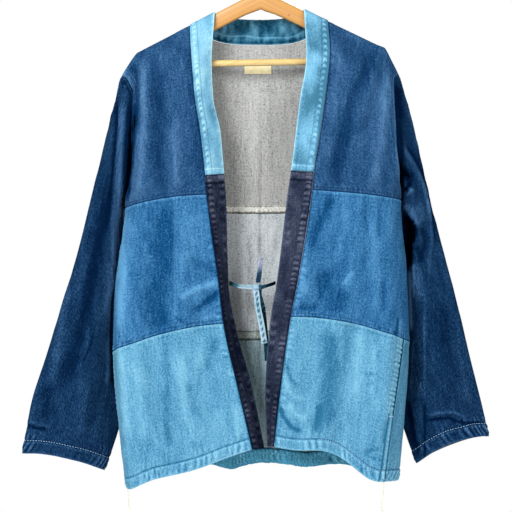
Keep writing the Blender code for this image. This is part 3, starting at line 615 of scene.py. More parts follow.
class Cloth:
    """A cloth piece as a grid of points, rows going down it and columns across it.

    u and v are the distances over the cloth from its left and its upper edge, u_left and v_left
    those to the other two. Creases are held back where the edges are sewn to something.
    """

    def __init__(self, form, places, levels, facing=1, closed=False):
        self.facing, self.closed = facing, closed
        self.across, self.level = np.meshgrid(np.asarray(places), np.asarray(levels))
        self.points = form(self.across, self.level)
        self.tone = np.zeros(self.across.shape)
        steps = np.linalg.norm(np.diff(self.points, axis=1), axis=-1)
        self.u = np.concatenate([np.zeros((len(levels), 1)), np.cumsum(steps, axis=1)], axis=1)
        steps = np.linalg.norm(np.diff(self.points, axis=0), axis=-1)
        self.v = np.concatenate([np.zeros((1, len(places))), np.cumsum(steps, axis=0)])
        self.u_left = self.u[:, -1:] - self.u
        self.v_left = self.v[-1:] - self.v
        self.hold = ease(self.v / CREASE_HOLD) * ease(self.v_left / CREASE_HOLD)
        if not closed:
            self.hold = self.hold * ease(self.u / CREASE_HOLD) * ease(self.u_left / CREASE_HOLD)

    def normals(self):
        """The way out of the cloth at each point."""
        points = self.points
        if self.closed:
            points = np.concatenate([points[:, -2:-1], points, points[:, 1:2]], axis=1)
        n = np.cross(np.gradient(points, axis=1), np.gradient(points, axis=0)) * self.facing
        if self.closed:
            n = n[:, 1:-1]
        return n / np.maximum(np.linalg.norm(n, axis=-1, keepdims=True), 1e-12)

    def push(self, depth, pale=0.0):
        """Moves the cloth outwards by this depth, and makes it paler."""
        self.points = self.points + self.normals() * np.asarray(depth)[..., None]
        self.tone = self.tone + pale

    def wrinkle(self, size_u, size_v, depth, seed, pale=0.0):
        """Random dents and swellings of about this size, the swellings made paler and the dents darker by
        pale.
        """
        waves = cloud(self.u / size_u, self.v / size_v, seed)
        self.push(depth * waves * self.hold, pale * waves)

    def gather(self, along, off, width, pitch, depth, seed, lean=0.0, pale=0.0, reach=1.0, wander=0.6):
        """Little folds across a row of stitches, from off 0 to the width, bowed by lean. Their crests get
        painted highlight and their hollows painted shade, by pale.
        """
        part = off / width
        spot = uneven(along / pitch, seed, wander) + lean * 4 * part * (1 - part)
        kept = ease(0.6 + 0.7 * cloud(along / pitch / 1.7, 0 * along, seed + 1))
        size = 1 - min(wander * 1.7, 1) * (1 - kept)
        fold = (np.cos(2 * math.pi * spot) + 0.2) * size * reach
        fold = fold * ease(part / 0.25) * ease((1 - part) / 0.25)
        fold = fold * (0.85 + 0.5 * cloud(along / 0.0035, off / 0.0035, seed + 2))
        self.push(depth * fold, pale * fold)

    def groove(self, off, width, depth, pale):
        """A groove, a ridge or a paler line where off is 0."""
        line = bump(off, width)
        self.push(depth * line, pale * line)

    def strokes(self, rows, inside=False):
        """Creases of the side that is seen from the front, or of the inside of the back.

        Each row has a half width, a depth and a paleness, then x and z of each point of its line,
        all but the paleness in millimetres. The paleness is painted light: below 0 it paints shade
        into the crease, above 0 highlight onto it.
        """
        near = CAMERA_AT[1] / (CAMERA_AT[1] - self.points[..., 1:2])
        centre = np.array([CAMERA_AT[0], CAMERA_AT[2]])
        seen = centre + (self.points[..., ::2] - centre) * near
        front = ease(0.5 + (2 if inside else -2) * self.normals()[..., 1])
        rough = cloud(self.u / 0.007, self.v / 0.011, 31) + 0.6 * cloud(self.u / 0.003, self.v / 0.004, 32)
        for width, depth, pale, *places in rows:
            width, depth, line = width / 1000, depth / 1000, np.reshape(places, (-1, 2)) / 1000
            far = np.full(self.across.shape, 9.0)
            part = np.zeros(self.across.shape)
            for k, (a, b) in enumerate(zip(line[:-1], line[1:])):
                t = np.clip(((seen - a) @ (b - a)) / ((b - a) @ (b - a)), 0, 1)
                this = np.linalg.norm(seen - (a + t[..., None] * (b - a)), axis=-1)
                part = np.where(this < far, (k + t) / (len(line) - 1), part)
                far = np.minimum(far, this)
            shape = bump(far + 0.28 * width * rough, width)
            shape = shape * ease(part * 5 + 0.25) * ease((1 - part) * 5 + 0.25) * front
            self.push(depth * shape * self.hold, pale * shape)

    def build(self, name, wall, outer, inner, grain_at=0.0, shift=0.0):
        """The piece's object, with its walls, its two faces' materials and its soft edges.

        The warp runs straight down at grain_at across it, and shift moves the cut in the cloth.
        """
        rows, columns = self.across.shape
        bm = bmesh.new()
        bmesh.ops.create_grid(bm, x_segments=columns - 1, y_segments=rows - 1, size=0.5)
        mesh = bpy.data.meshes.new(name)
        bm.to_mesh(mesh)
        bm.free()
        flat = np.empty(len(mesh.vertices) * 3, np.float32)
        mesh.vertices.foreach_get("co", flat)
        flat = flat.reshape(-1, 3)
        column = np.rint((flat[:, 0] + 0.5) * (columns - 1)).astype(int)
        row = np.rint((flat[:, 1] + 0.5) * (rows - 1)).astype(int)
        mesh.vertices.foreach_set("co", self.points[row, column].astype(np.float32).ravel())
        tone = mesh.attributes.new("tone", "FLOAT", "POINT")
        tone.data.foreach_set("value", self.tone[row, column].astype(np.float32))
        corners = np.empty(len(mesh.loops), np.int32)
        mesh.loops.foreach_get("vertex_index", corners)
        straight = self.u - self.u[:, [int(grain_at * (columns - 1))]]
        cut = np.stack([straight[row, column] + shift, self.v[row, column] + shift / 2], axis=-1)
        layer = mesh.uv_layers.new(name="cut")
        layer.uv.foreach_set("vector", cut[corners].astype(np.float32).ravel())
        if self.facing < 0:
            mesh.flip_normals()
        if self.closed:
            bm = bmesh.new()
            bm.from_mesh(mesh)
            bmesh.ops.remove_doubles(bm, verts=bm.verts[:], dist=0.00002)
            bm.to_mesh(mesh)
            bm.free()
        mesh.shade_smooth()
        obj = add_object(name, mesh, outer, inner)
        skin = obj.modifiers.new("Wall", "SOLIDIFY")
        skin.thickness = wall
        skin.offset = 0
        skin.material_offset = 1
        rim = obj.modifiers.new("Soft_edges", "BEVEL")
        rim.width = wall * 0.3
        rim.segments = 2
        rim.limit_method = "ANGLE"
        rim.angle_limit = math.radians(50)
        return obj


MIDDLE = 0.4  # where the unworn, unshaded cloth lies between its darkest and its palest colour


def denim(name, light, dark, middle, worn, grain=0.6, slub=0.34, mottle=0.25, relief=1.0):
    """Twill with uneven warp threads, in its darkest, its usual and its palest, worn colour, with the tone
    attribute painted in as shade towards the darkest and highlight towards the palest.
    """
    dark, middle, worn = (shade(*colour, light) for colour in (dark, middle, worn))
    paint = Paint(name)
    cut = paint.node("ShaderNodeUVMap", {"uv_map": "cut"})
    flecks = paint.noise(cut, (560.0, 520.0, 1.0), 2.0)
    coarse = paint.noise(cut, (260.0, 250.0, 1.0), 1.0)
    warp = paint.noise(cut, (360.0, 34.0, 1.0), 1.0)
    fine = paint.noise(cut, (1500.0, 150.0, 1.0), 1.0)
    weft = paint.noise(cut, (70.0, 620.0, 1.0), 1.0)
    cloudy = paint.noise(cut, (44.0, 15.0, 1.0), 3.0)
    tone = paint.node("ShaderNodeAttribute", {"attribute_name": "tone"}, out=2)
    value = ((flecks - 0.5) * 2.0 + (coarse - 0.5) * 1.1) * grain + (cloudy - 0.5) * mottle
    value = value + ((warp - 0.5) * 1.3 + (fine - 0.5) * 0.9 + (weft - 0.5) * 0.6) * slub
    value = value + tone * relief + MIDDLE
    shaded_dye = paint.mixed(value / MIDDLE, dark, middle)
    shaded_dye = paint.mixed((value - MIDDLE) / (1 - MIDDLE), shaded_dye, worn)
    # Painted shade: where the tone is lowest the colour goes to near black, as shade deep in folds and
    # recesses
    crevice_shade = (0.0 - tone).above(0.75, 1.9)
    paint.set("Base Color", paint.mixed(crevice_shade, shaded_dye, tuple(0.1 * c for c in dark)))
    twill = paint.node("ShaderNodeTexWave", {"bands_direction": "DIAGONAL"},
                       {"Vector": paint.scaled(cut, (1.0, 0.55, 1.0)), "Scale": 260.0})
    paint.bump(flecks * 0.6 + fine * 0.8 + twill * 0.35, 0.0003, 0.6)
    paint.set("Specular IOR Level", 0.0)
    return paint


LIT = 3.0  # light that reaches the front of the jacket, and its inside
LIT_INSIDE = 1.9

DARK_OUT = denim("Dark_denim", LIT, (10, 46, 84), (38, 78, 120), (88, 132, 176))
MID_OUT = denim("Mid_denim", LIT, (12, 66, 112), (53, 111, 160), (98, 162, 208), 0.68)
PALE_OUT = denim("Pale_denim", LIT, (44, 110, 148), (93, 157, 194), (142, 204, 230), 0.64)
# The upper block's reverse is a copy of the middle block's grey, painted darker: painted shade for the
# upper inside of the back
GREY_TOP_SHADED = denim("Denim_reverse_upper_shaded", LIT_INSIDE, (74, 78, 80), (150, 151, 149), (188, 189, 186),
                 0.50, 0.30, 0.05, 0.35)
GREY_MIDDLE = denim("Denim_reverse", LIT_INSIDE, (88, 96, 102), (171, 177, 180), (208, 215, 217),
                    0.52, 0.30, 0.05, 0.35)
GREY_LOW = denim("Pale_denim_reverse", LIT_INSIDE, (70, 98, 106), (132, 156, 163), (186, 206, 210),
                 0.50, 0.34, 0.10, 0.5)

# The blocks: name, top, foot, outside, reverse and finish
BLOCKS = (
    ("upper", SHOULDER, CHEST_SEAM, DARK_OUT, GREY_TOP_SHADED, "dark_denim"),
    ("middle", CHEST_SEAM, WAIST_SEAM, MID_OUT, GREY_MIDDLE, "mid_denim"),
    ("lower", WAIST_SEAM, HEM, PALE_OUT, GREY_LOW, "pale_denim"),
)


def spread(low, high, coarse, fine, margin):
    """Places from low to high, closer together within the margin of either end."""
    first = np.arange(low, low + margin - fine / 2, fine)
    count = int((high - low - 2 * margin) / coarse)
    between = np.linspace(low + margin, high - margin, count)
    return np.concatenate([first, between, low + high - first[::-1]])


def shoulder_levels(even, second):
    """The same levels, but three that suit a piece's turn over the shoulder first."""
    return np.concatenate([[even[0], second, 0.004], even[even > 0.0055]])


def panel_levels(top, low):
    """The levels of a panel's rows, from its top to its foot."""
    start = top + (SHOULDER_GAP if top == SHOULDER else GAP / 2)
    even = spread(start, low - GAP / 2, coarse=0.0030, fine=0.0017, margin=0.025)
    return shoulder_levels(even, 0.0022) if top == SHOULDER else even


def cloth_relief(piece, seed, pale=1.0):
    """The uneven surface of washed denim."""
    piece.wrinkle(0.055, 0.120, 0.0014 * pale, seed, 0.07 * pale)
    piece.wrinkle(0.018, 0.060, 0.0006 * pale, seed + 1, 0.08 * pale)
    piece.wrinkle(0.007, 0.020, 0.0003, seed + 2, 0.09)


def hem_relief(piece, width, seed, pale=1.0):
    """A turned-up hem, drawn into short upright folds by its stitches, with painted highlight on the folds'
    crests and painted shade between.
    """
    low = piece.v_left
    piece.push(0.0005 * ease((width - low) / 0.004 + 0.5))
    piece.gather(piece.u + low * 0.25, low, width, 0.0110, 0.0013, seed, 0.1, 0.46 * pale, wander=0.9)
    piece.gather(piece.u, low - width, 0.016, 0.0110, 0.0006, seed, 0.1, 0.22 * pale, wander=0.9)
    piece.groove(low - width, 0.0014, -0.0006, -0.44 * pale)
    piece.groove(low - width + 0.0035, 0.0016, 0.0002, 0.22 * pale)
    piece.groove(low, 0.0026, 0.0, 0.30 * pale)


def block_relief(piece, top, low, seed, stitched):
    """A block's surface, with its joint to the block above and to the one below, or its hem. The puckers at
    a joint get painted highlight on their crests and painted shade between.
    """
    cloth_relief(piece, seed)
    if top > SHOULDER:
        piece.gather(piece.u, piece.v, 0.011, 0.0064, 0.0004, seed + 3, pale=0.22)
        piece.groove(piece.v, 0.0030, 0.0, 0.26)
        if stitched:
            piece.groove(piece.v - 0.0065, 0.0010, -0.0002, -0.16)
            piece.gather(piece.u, piece.v_left, 0.007, 0.0032, 0.0002, seed + 9, 0.1, 0.20)
    if low < HEM:
        piece.gather(piece.u, piece.v_left, 0.012, 0.0062, 0.0005, seed + 4, pale=0.26)
        piece.groove(piece.v_left, 0.0013, -0.0005, -0.75)
        if stitched:
            piece.groove(piece.v_left - JOINT_STITCH, 0.0010, -0.0002, -0.20)
    else:
        hem_relief(piece, HEM_WIDTH, seed + 5)


# Creases of the fronts: half width, how far it stands out, paleness, then x and z of each point
# of its line, as seen from the camera on the plane of the shoulders. Lengths are in millimetres.
# The paleness paints shade into a crease where it is below 0 and highlight onto it above 0; the
# most negative paint near-black shadow.
CREASES = {
    "front_upper_right": (
        (7, -4, -0.39, -226, -202, -221, -234, -219, -278, -221, -322),
        (3.5, -3, -1.90, -223, -280, -224, -322, -226, -357, -230, -401, -235, -445),
        (7, 3, 0.36, -207, -192, -205, -252, -205, -322, -209, -393, -216, -442),
        (12, -2, -0.26, -180, -202, -180, -287, -182, -357, -180, -431),
        (9, 1.5, 0.26, -145, -304, -149, -357, -147, -428),
        (8, -1, -0.22, -149, -157, -128, -199, -117, -269, -108, -357, -101, -419),
        (6, 1, 0.21, -238, -224, -231, -245),
        (8, 1, 0.34, -253, -241, -242, -213, -226, -188),
    ),
    "front_upper_left": (
        (12, -4, -0.36, 205, -171, 186, -216, 168, -252, 156, -292, 147, -333, 138, -375, 131,
         -424),
        (9, 2, 0.26, 221, -220, 217, -287, 210, -357, 196, -428),
        (8, 1, 0.19, 140, -181, 136, -234, 126, -304),
        (9, 1, 0.14, 179, -322, 172, -375, 168, -428),
        (2.5, 0.5, 0.26, 238, -269, 240, -357, 245, -428),
        (6, 1, 0.17, 149, -150, 179, -167),
    ),
    "front_middle_right": (
        (22, -4, -0.34, -170, -445, -172, -516, -177, -577, -180, -639, -184, -683),
        (5, 1.5, 0.17, -140, -472, -138, -551, -140, -621),
        (4, 1.5, 0.19, -149, -454, -149, -551, -150, -665),
        (9, 1, 0.43, -240, -459, -244, -551, -245, -674),
        (10, 2, 0.17, -223, -466, -237, -533, -244, -621, -247, -692),
        (11, 1.5, 0.19, -121, -466, -124, -516, -131, -554),
        (6, 3, 0.52, -143, -620, -121, -605, -98, -598, -70, -588),
        (6, -3, -0.50, -114, -641, -94, -623, -73, -607),
        (7, -2, -0.26, -114, -554, -92, -565, -75, -579),
        (3, 1.2, 0.28, -101, -655, -85, -649, -71, -651),
        (3, -1, -0.30, -149, -651, -135, -662),
    ),
    "front_middle_left": (
        (1.5, -0.8, -0.65, 242, -651, 240, -674, 235, -693),
        (3, 1, 0.36, 247, -653, 245, -674, 242, -692),
        (9, -3, -0.38, 129, -440, 117, -458, 101, -495, 89, -537),
        (8, 1.5, 0.17, 149, -454, 145, -516, 133, -554),
        (5, -1.5, -0.21, 184, -438, 184, -472, 186, -502),
        (5, -1.5, -0.17, 210, -445, 210, -516),
        (8, 2, 0.34, 73, -561, 77, -586, 80, -613),
        (2.5, -1.2, -0.34, 70, -569, 77, -579, 85, -584),
        (17, -3, -0.29, 108, -569, 122, -607, 129, -649),
        (10, -2, -0.19, 152, -604, 142, -646),
        (1.6, -1, -0.30, 140, -598, 136, -621),
        (1.8, 1, 0.28, 142, -597, 158, -576),
        (4, 2, 0.30, 149, -597, 156, -581, 165, -570),
        (2.5, -1.2, -0.33, 105, -581, 105, -621),
        (6, -1.5, -0.28, 66, -637, 101, -634),
        (4, -1.2, -0.22, 216, -581, 216, -646),
        (10, 1.5, 0.14, 196, -472, 200, -551, 207, -656),
    ),
    "front_lower_right": (
        (8, -2, -0.28, -168, -692, -166, -762, -165, -833, -159, -885),
        (9, -2.5, -0.26, -78, -683, -87, -713, -94, -748),
        (7, -1.5, -0.24, -124, -769, -121, -797, -114, -829),
        (9, 1, 0.29, -245, -701, -240, -780, -231, -868),
        (9, 1.5, 0.21, -219, -727, -212, -797, -205, -868),
        (9, 1.5, 0.17, -142, -709, -138, -780, -135, -850),
        (8, 2, 0.31, -43, -804, -40, -833, -36, -861),
        (4, -1.2, -0.24, -119, -871, -106, -883),
        (9, 1.2, 0.17, -110, -701, -106, -745),
    ),
    "front_lower_left": (
        (16, -3, -0.34, 122, -671, 122, -727, 121, -788, 112, -850),
        (4, -2, -0.33, 46, -734, 54, -762, 68, -774),
        (5, 2, 0.26, 41, -748, 48, -780, 64, -795, 80, -794),
        (3.5, -3, -0.73, 33, -806, 41, -827, 55, -846, 73, -854),
        (7, 2.5, 0.33, 48, -804, 64, -824, 82, -831),
        (6, -2, -0.33, 105, -806, 99, -833, 96, -857),
        (9, 1.5, 0.21, 172, -674, 175, -736, 161, -797),
        (2, -0.8, -0.39, 182, -753, 203, -751),
        (3, -1, -0.24, 186, -773, 200, -767),
        (2.5, -1.2, -0.36, 182, -894, 196, -885, 210, -882),
        (2.5, -1.2, -0.33, 191, -899, 212, -901),
        (3, -1.5, -0.28, 221, -833, 216, -876),
        (5, 1, 0.21, 203, -701, 200, -736, 196, -797),
    ),
}

# Places where a front is gathered by something sewn behind it: the edge, from and to along that
# edge, how far in it reaches, the distance between folds, their height and paleness. The
# paleness paints highlight on the folds' crests and shade between them.
GATHERS = {
    "front_middle_right": (("band", 0.005, 0.220, 0.010, 0.0130, 0.0005, 0.22),),
    "front_middle_left": (("band", 0.090, 0.220, 0.012, 0.0120, 0.0006, 0.24),),
    "front_lower_right": (
        ("side", 0.010, 0.130, 0.012, 0.0100, 0.0008, 0.36),
        ("band", 0.020, 0.110, 0.014, 0.0140, 0.0008, 0.30),
    ),
    "front_lower_left": (
        ("side", 0.004, 0.132, 0.022, 0.0082, 0.0014, 0.70),
        ("band", 0.010, 0.190, 0.012, 0.0120, 0.0006, 0.24),
    ),
}

cloths = {}
for number, side in enumerate(SIDES):
    for block, (level_name, top, low, outer, inner, slot) in enumerate(BLOCKS):
        def form(across, level):
            level = level + past_tip(across, level)
            where = mix(SEAM_STEP, side_where(side, level) - SEAM_STEP, across)
            return body_point(side, where, level)

        key = f"front_{level_name}_{side}"
        places = spread(0, 1, coarse=0.0130, fine=0.0090, margin=0.08)
        piece = Cloth(form, places, panel_levels(top, low), -SIGN[side])
        seed = 100 + number * 40 + block * 10
        block_relief(piece, top, low, seed, True)
        piece.gather(piece.v, piece.u, 0.010, 0.0070, 0.0003, seed + 6, pale=0.15)
        # Painted shadow: a dark line along the band side, where the band lies over the front's edge
        piece.groove(piece.u, 0.0016, 0.0, -0.50)
        piece.gather(piece.v, piece.u_left, 0.010, 0.0080, 0.0003, seed + 7, pale=0.15)
        for edge, first, last, width, pitch, depth, pale in GATHERS.get(key, ()):
            off = piece.u if edge == "band" else piece.u_left
            reach = ease((piece.v - first) / 0.015) * ease((last - piece.v) / 0.015)
            piece.gather(piece.v, off, width, pitch, depth, seed + 8, 0.2, pale, reach,
                         0.25 if pitch < 0.009 else 0.6)
        # The left lower front's pocket: painted shadow in its opening, a paler strip beside it and a paler
        # raised line further in; below the opening, dark lines 1.4 and 11.6 mm from the side edge with a
        # paler ridge between
        if key == "front_lower_left":
            pocket = ease((POCKET_LOW - piece.v) / 0.004)
            piece.tone = piece.tone - 3.4 * bump(piece.u_left, 0.0026) * pocket
            piece.tone = piece.tone + 0.26 * bump(piece.u_left - 0.0085, 0.0055) * pocket
            piece.groove(piece.u_left - 0.0150, 0.0011, 0.0003 * pocket, 0.45 * pocket)
            for far, width, pale in ((0.0014, 0.0012, -1.0), (0.0060, 0.0034, 0.4), (0.0116, 0.0012, -1.0)):
                piece.groove(piece.u_left - far, width, 0.0004 * pale * (1 - pocket), pale * (1 - pocket))
        # Painted light: the right fronts are made paler towards their side edge, lifting the shade there
        if side == "right":
            piece.groove(piece.u_left, 0.0220, 0.0, 0.18)
        piece.strokes(CREASES[key])
        cloths[key] = piece
        obj = piece.build(f"Front_{level_name}_{side}", DENIM, outer, inner, 0.6, seed * 0.01)
        finished(obj, slot, key)


def back_form(across, level):
    """Points of the back, from one side seam or armhole (-1) to the other (1)."""
    half = np.abs(across)
    points = []
    for side in SIDES:
        edge = np.where(level < CHEST_SEAM, armhole_back_where(side, level), side_where(side, level))
        where = 2 - half + (edge + SEAM_STEP - 1) * ease((half - 0.5) / 0.5)
        points.append(body_point(side, where, level + past_tip(half, level)))
    return np.where((across < 0)[..., None], *points)


def along_edge(piece, edge, far, start=0.0, end=1.0):
    """The line on a cloth piece this far from one of its edges, and the normals along it."""
    grid = {"left": piece.u, "right": piece.u_left, "top": piece.v, "low": piece.v_left}[edge]
    points, normals = piece.points, piece.normals()
    if edge in ("top", "low"):
        grid, points, normals = grid.T, points.swapaxes(0, 1), normals.swapaxes(0, 1)
    if grid[0, 0] > grid[0, -1]:
        grid, points, normals = grid[:, ::-1], points[:, ::-1], normals[:, ::-1]
    i = np.array([int(np.clip(np.searchsorted(row, far) - 1, 0, len(row) - 2)) for row in grid])
    every = np.arange(len(grid))
    t = ((far - grid[every, i]) / (grid[every, i + 1] - grid[every, i]))[:, None]
    line = mix(points[every, i], points[every, i + 1], t)
    normal = mix(normals[every, i], normals[every, i + 1], t)
    normal /= np.linalg.norm(normal, axis=-1, keepdims=True)
    chosen = slice(int(start * len(grid)), max(int(end * len(grid)), 2))
    return np.hstack([line, normal])[chosen]


def strip_inside(piece, offsets, wall):
    """A strip of cloth lying on a piece's inner face, from and to so far above its lower edge."""
    lines = np.array([along_edge(piece, "low", far) for far in offsets])
    points = lines[..., :3] - lines[..., 3:] * (DENIM / 2 + GAP + wall / 2)
    return Cloth(lambda across, level: points, np.arange(points.shape[1]), np.arange(len(offsets)), -1)


# Creases of the back, as on the fronts with their painted shade and highlight: the first few show inside
# it, the rest only from behind
INSIDE_CREASES = {
    "upper": (
        (6, -1.5, -0.16, -43, -199, -40, -304, -43, -419),
        (9, 1.5, 0.12, -18, -216, -15, -322, -18, -428),
        (5, -1.5, -0.14, 17, -234, 13, -322, 20, -410),
        (3, 1, 0.14, -31, -262, 3, -257, 41, -264),
        (12, 3, -0.26, -194, -216, -168, -304, -156, -419),
        (9, -2, 0.22, -163, -234, -142, -322, -131, -424),
        (14, 3, -0.24, 196, -225, 161, -322, 149, -424),
        (8, -2, 0.20, 140, -199, 122, -304, 115, -419),
        (6, 2, -0.30, 238, -304, 210, -357, 158, -396),
        (5, 2, -0.26, -240, -322, -209, -375, -156, -403),
    ),
    "middle": (
        (6, 2.5, -0.34, -18, -516, -18, -586, -20, -665),
        (5, -1.5, 0.14, -29, -489, -29, -568, -31, -656),
        (7, 1.5, -0.14, 3, -507, 6, -554),
        (5, -1.5, 0.12, 22, -489, 18, -554),
        (13, 3, -0.26, -156, -454, -163, -551, -194, -674),
        (8, -2, 0.22, -124, -463, -124, -568, -145, -674),
        (13, 3, -0.26, 149, -454, 161, -551, 196, -674),
        (8, -2, 0.20, 115, -463, 122, -568, 147, -665),
        (5, 2, -0.30, 246, -568, 196, -604, 122, -621),
        (5, -2, 0.22, 238, -554, 193, -586, 126, -604),
    ),
    "lower": (
        (6, 2, -0.20, -3, -700, 3, -762, 3, -824),
        (5, -1.5, 0.14, 10, -709, 15, -771, 13, -815),
        (12, 3, -0.24, -194, -700, -202, -780, -194, -868),
        (9, -2, 0.20, -149, -700, -149, -780, -138, -850),
        (14, 3, -0.26, 196, -700, 186, -780, 168, -868),
        (8, -2, 0.20, 140, -700, 133, -780, 126, -850),
        (9, 3, -0.20, 70, -709, 77, -797, 84, -868),
    ),
}

for block, (level_name, top, low, outer, inner, slot) in enumerate(BLOCKS):
    piece = Cloth(back_form, np.linspace(-1, 1, 181), panel_levels(top, low), 1)
    seed = 300 + block * 10
    block_relief(piece, top, low, seed, False)
    piece.strokes(INSIDE_CREASES[level_name], inside=True)
    cloths[f"back_{level_name}"] = piece
    obj = piece.build(f"Back_{level_name}", DENIM, outer, inner, 0.5, seed * 0.01)
    finished(obj, slot, f"back_{level_name}")

# The felled joints and the hem's turning inside the back: the block, from and to so far above its
# foot, the finish and the material
FELL_WALL = 0.0008
FELLS = {
    "Back_seam_chest": ("back_upper", 0.0142, -0.0006, "dark_denim", denim(
        "Chest_seam_reverse", LIT_INSIDE, (84, 84, 74), (196, 196, 190), (232, 232, 226), 0.5, 0.3, 0.1)),
    "Back_seam_waist": ("back_middle", 0.0164, -0.0012, "pale_denim", denim(
        "Waist_seam_reverse", LIT_INSIDE, (64, 76, 76), (146, 156, 152), (206, 214, 210), 0.5, 0.4, 0.1)),
    "Back_hem_turning": ("back_lower", 0.0265, -0.0006, "pale_denim", denim(
        "Hem_turning", LIT_INSIDE, (22, 74, 98), (70, 144, 176), (130, 200, 226), 0.45, 0.3, 0.1)),
}
for number, (name, (key, first, last, slot, paint)) in enumerate(FELLS.items()):
    piece = strip_inside(cloths[key], np.linspace(first, last, 12), FELL_WALL)
    seed = 380 + 10 * number
    piece.points[..., 2] += 0.0007 * cloud(piece.u / 0.005, piece.v / 0.004, seed + 1)
    if name != "Back_hem_turning":
        piece.gather(piece.u, piece.v, 0.011, 0.0070, 0.0006, seed, 0.2, 0.22)
        # Painted shadow along the strip's lower edge
        piece.groove(piece.v_left, 0.0016, 0.0, -1.2)
        piece.groove(piece.v - 0.0015, 0.0009, -0.0003, -0.35)
        piece.groove(piece.v_left - 0.0030, 0.0009, -0.0003, -0.25)
    else:
        piece.gather(piece.u, piece.v, 0.027, 0.0080, 0.0006, seed, 0.1, 0.34, wander=0.9)
        # Painted shade along the turning's top edge
        piece.groove(piece.v, 0.0018, 0.0, -0.9)
    finished(piece.build(name, FELL_WALL, paint, paint, 0.5, seed * 0.01), slot)


# ---------------------------------------------------------------------------------------------
# Front and neck bands. One long strip folded double: light blue over the shoulders, blue-black
# below, and teal behind the neck. Its outer edge is stitched down and puckers all the way.
BAND_CLOTH = 0.0030
BAND_CROWN = 0.0020
BAND_WIDTH = 0.045
BAND_STRIP = 0.0135  # width of the stitched strip beside the seam
BAND_JOINT = 0.265  # level where light blue meets blue-black
BAND_GAP = 0.0004  # between the bands and the fronts, and the neck band and the back
NECK_GAP = 0.0005
NECK_EDGE_DEPTH = 0.037
NECK_EDGE_Z = -0.1220
NECK_END = 0.014  # what the neck band leaves free at each end, as a part of its half
NECK_COLUMNS = 131

# The bands' folded edge, opposite the seam to the front: level, x, y and z
BANDS = {
    "right": (
        (0.000, -0.0800, 0.0000, -0.1152),
        (0.002, -0.0800, -0.0030, -0.1156),
        (0.006, -0.0802, -0.0090, -0.1180),
        (0.014, -0.0808, -0.0122, -0.1270),
        (0.060, -0.0860, -0.0170, -0.1990),
        (0.130, -0.0830, -0.0190, -0.2690),
        (0.187, -0.0710, -0.0210, -0.3250),
        (0.265, -0.0640, -0.0220, -0.4010),
        (0.300, -0.0610, -0.0200, -0.4380),
        (0.457, -0.0570, -0.0100, -0.5950),
        (0.525, -0.0450, -0.0110, -0.6660),
        (0.640, -0.0160, -0.0160, -0.7720),
        (0.745, 0.0060, -0.0200, -0.8790),
    ),
    "left": (
        (0.000, 0.0760, 0.0000, -0.1102),
        (0.002, 0.0760, -0.0030, -0.1106),
        (0.006, 0.0762, -0.0090, -0.1130),
        (0.014, 0.0766, -0.0122, -0.1220),
        (0.060, 0.0800, -0.0240, -0.1930),
        (0.130, 0.0690, -0.0290, -0.2690),
        (0.187, 0.0620, -0.0320, -0.3250),
        (0.265, 0.0530, -0.0350, -0.3960),
        (0.300, 0.0480, -0.0350, -0.4290),
        (0.457, 0.0280, -0.0340, -0.5920),
        (0.525, 0.0180, -0.0330, -0.6510),
        (0.640, 0.0090, -0.0220, -0.7770),
        (0.745, 0.0130, -0.0100, -0.8770),
    ),
}


def band_point(side, across, level):
    """Points of a front band, from its seam (0) to its folded edge (1)."""
    lift = (BAND_CLOTH - DENIM) / 2 * bump(level, 0.02)
    seam = body_point(side, 0.0, level)
    seam = seam + np.stack([0 * lift, -lift * ease(level / 0.006), lift], axis=-1)
    edge = table_at(BANDS[side], level)
    crown = BAND_CROWN * np.sin(math.pi * across) * ease(level / 0.05)
    point = mix(seam, edge, across[..., None])
    point[..., 1] -= crown
    return point


def neck_point(across, along):
    """Points of the neck band, from its seam (0) to its edge (1), and from -1 to 1 along it."""
    points = []
    turn = np.abs(along) * math.pi / 2
    for side in SIDES:
        x = FRONTS[side][0][1] * np.sin(turn)
        behind, height = neckline(side, x, CLOTH_SEAT + (BAND_CLOTH - DENIM) / 2 + GAP)
        end_x, _, end_z = BANDS[side][0][1:]
        seam = np.stack([SIGN[side] * x, behind, height], axis=-1)
        edge = [end_x * np.sin(turn), NECK_EDGE_DEPTH * np.cos(turn), mix(NECK_EDGE_Z, end_z, along**2)]
        points.append(mix(seam, np.stack(edge, axis=-1), across[..., None]))
    return np.where((along > 0)[..., None], points[1], points[0])


LIGHT_OUT = denim("Band_denim", LIT, (66, 122, 150), (120, 184, 218), (186, 240, 252), 0.32, 0.2, 0.6)
BLACK_OUT = denim("Black_denim", LIT, (18, 26, 44), (50, 58, 80), (104, 112, 132), 0.45, 0.35, 0.4)
TEAL_OUT = denim("Neck_denim", LIT, (10, 62, 90), (50, 108, 137), (104, 166, 198), 0.40, 0.3, 0.5)


def band_relief(piece, seed, block):
    """Drawn up in short folds beside the seam, round above and notched below, with painted highlight on the
    folds' crests and painted shade between, and worn at the edge.
    """
    pale = 0.8 if block else 1.0
    piece.wrinkle(0.034, 0.060, 0.0008, seed, 0.22 * pale)
    piece.wrinkle(0.014, 0.018, 0.0004, seed + 1, 0.15 * pale)
    if block:
        piece.gather(piece.v, piece.u - 0.0010, 0.0130, 0.0098, 0.0010, seed + 2, 0.15, 0.38, wander=0.5)
        piece.gather(piece.v, piece.u_left, 0.016, 0.0190, 0.0010, seed + 3, -0.2, 0.30)
        piece.tone = piece.tone - 0.16 * ease((piece.v - 0.09) / 0.12)
    else:
        piece.gather(piece.v, piece.u - 0.0036, 0.0080, 0.0108, 0.0012, seed + 2, 0.35, 0.36, wander=0.45)
        piece.groove(piece.u - 0.0036, 0.0014, -0.0003, -0.16)
    piece.groove(piece.u - BAND_STRIP, 0.0012, -0.0005, -0.10 * pale)
    piece.groove(piece.u, 0.0024, 0.0, -0.30 * pale)
    piece.gather(piece.v, piece.u_left, 0.008, 0.0150, 0.0004, seed + 6, 0.1, 0.12 * pale)
    piece.groove(piece.u_left, 0.0014, 0.0, 0.75 * pale)
    piece.groove(piece.u_left, 0.0050, 0.0, 0.16 * pale)


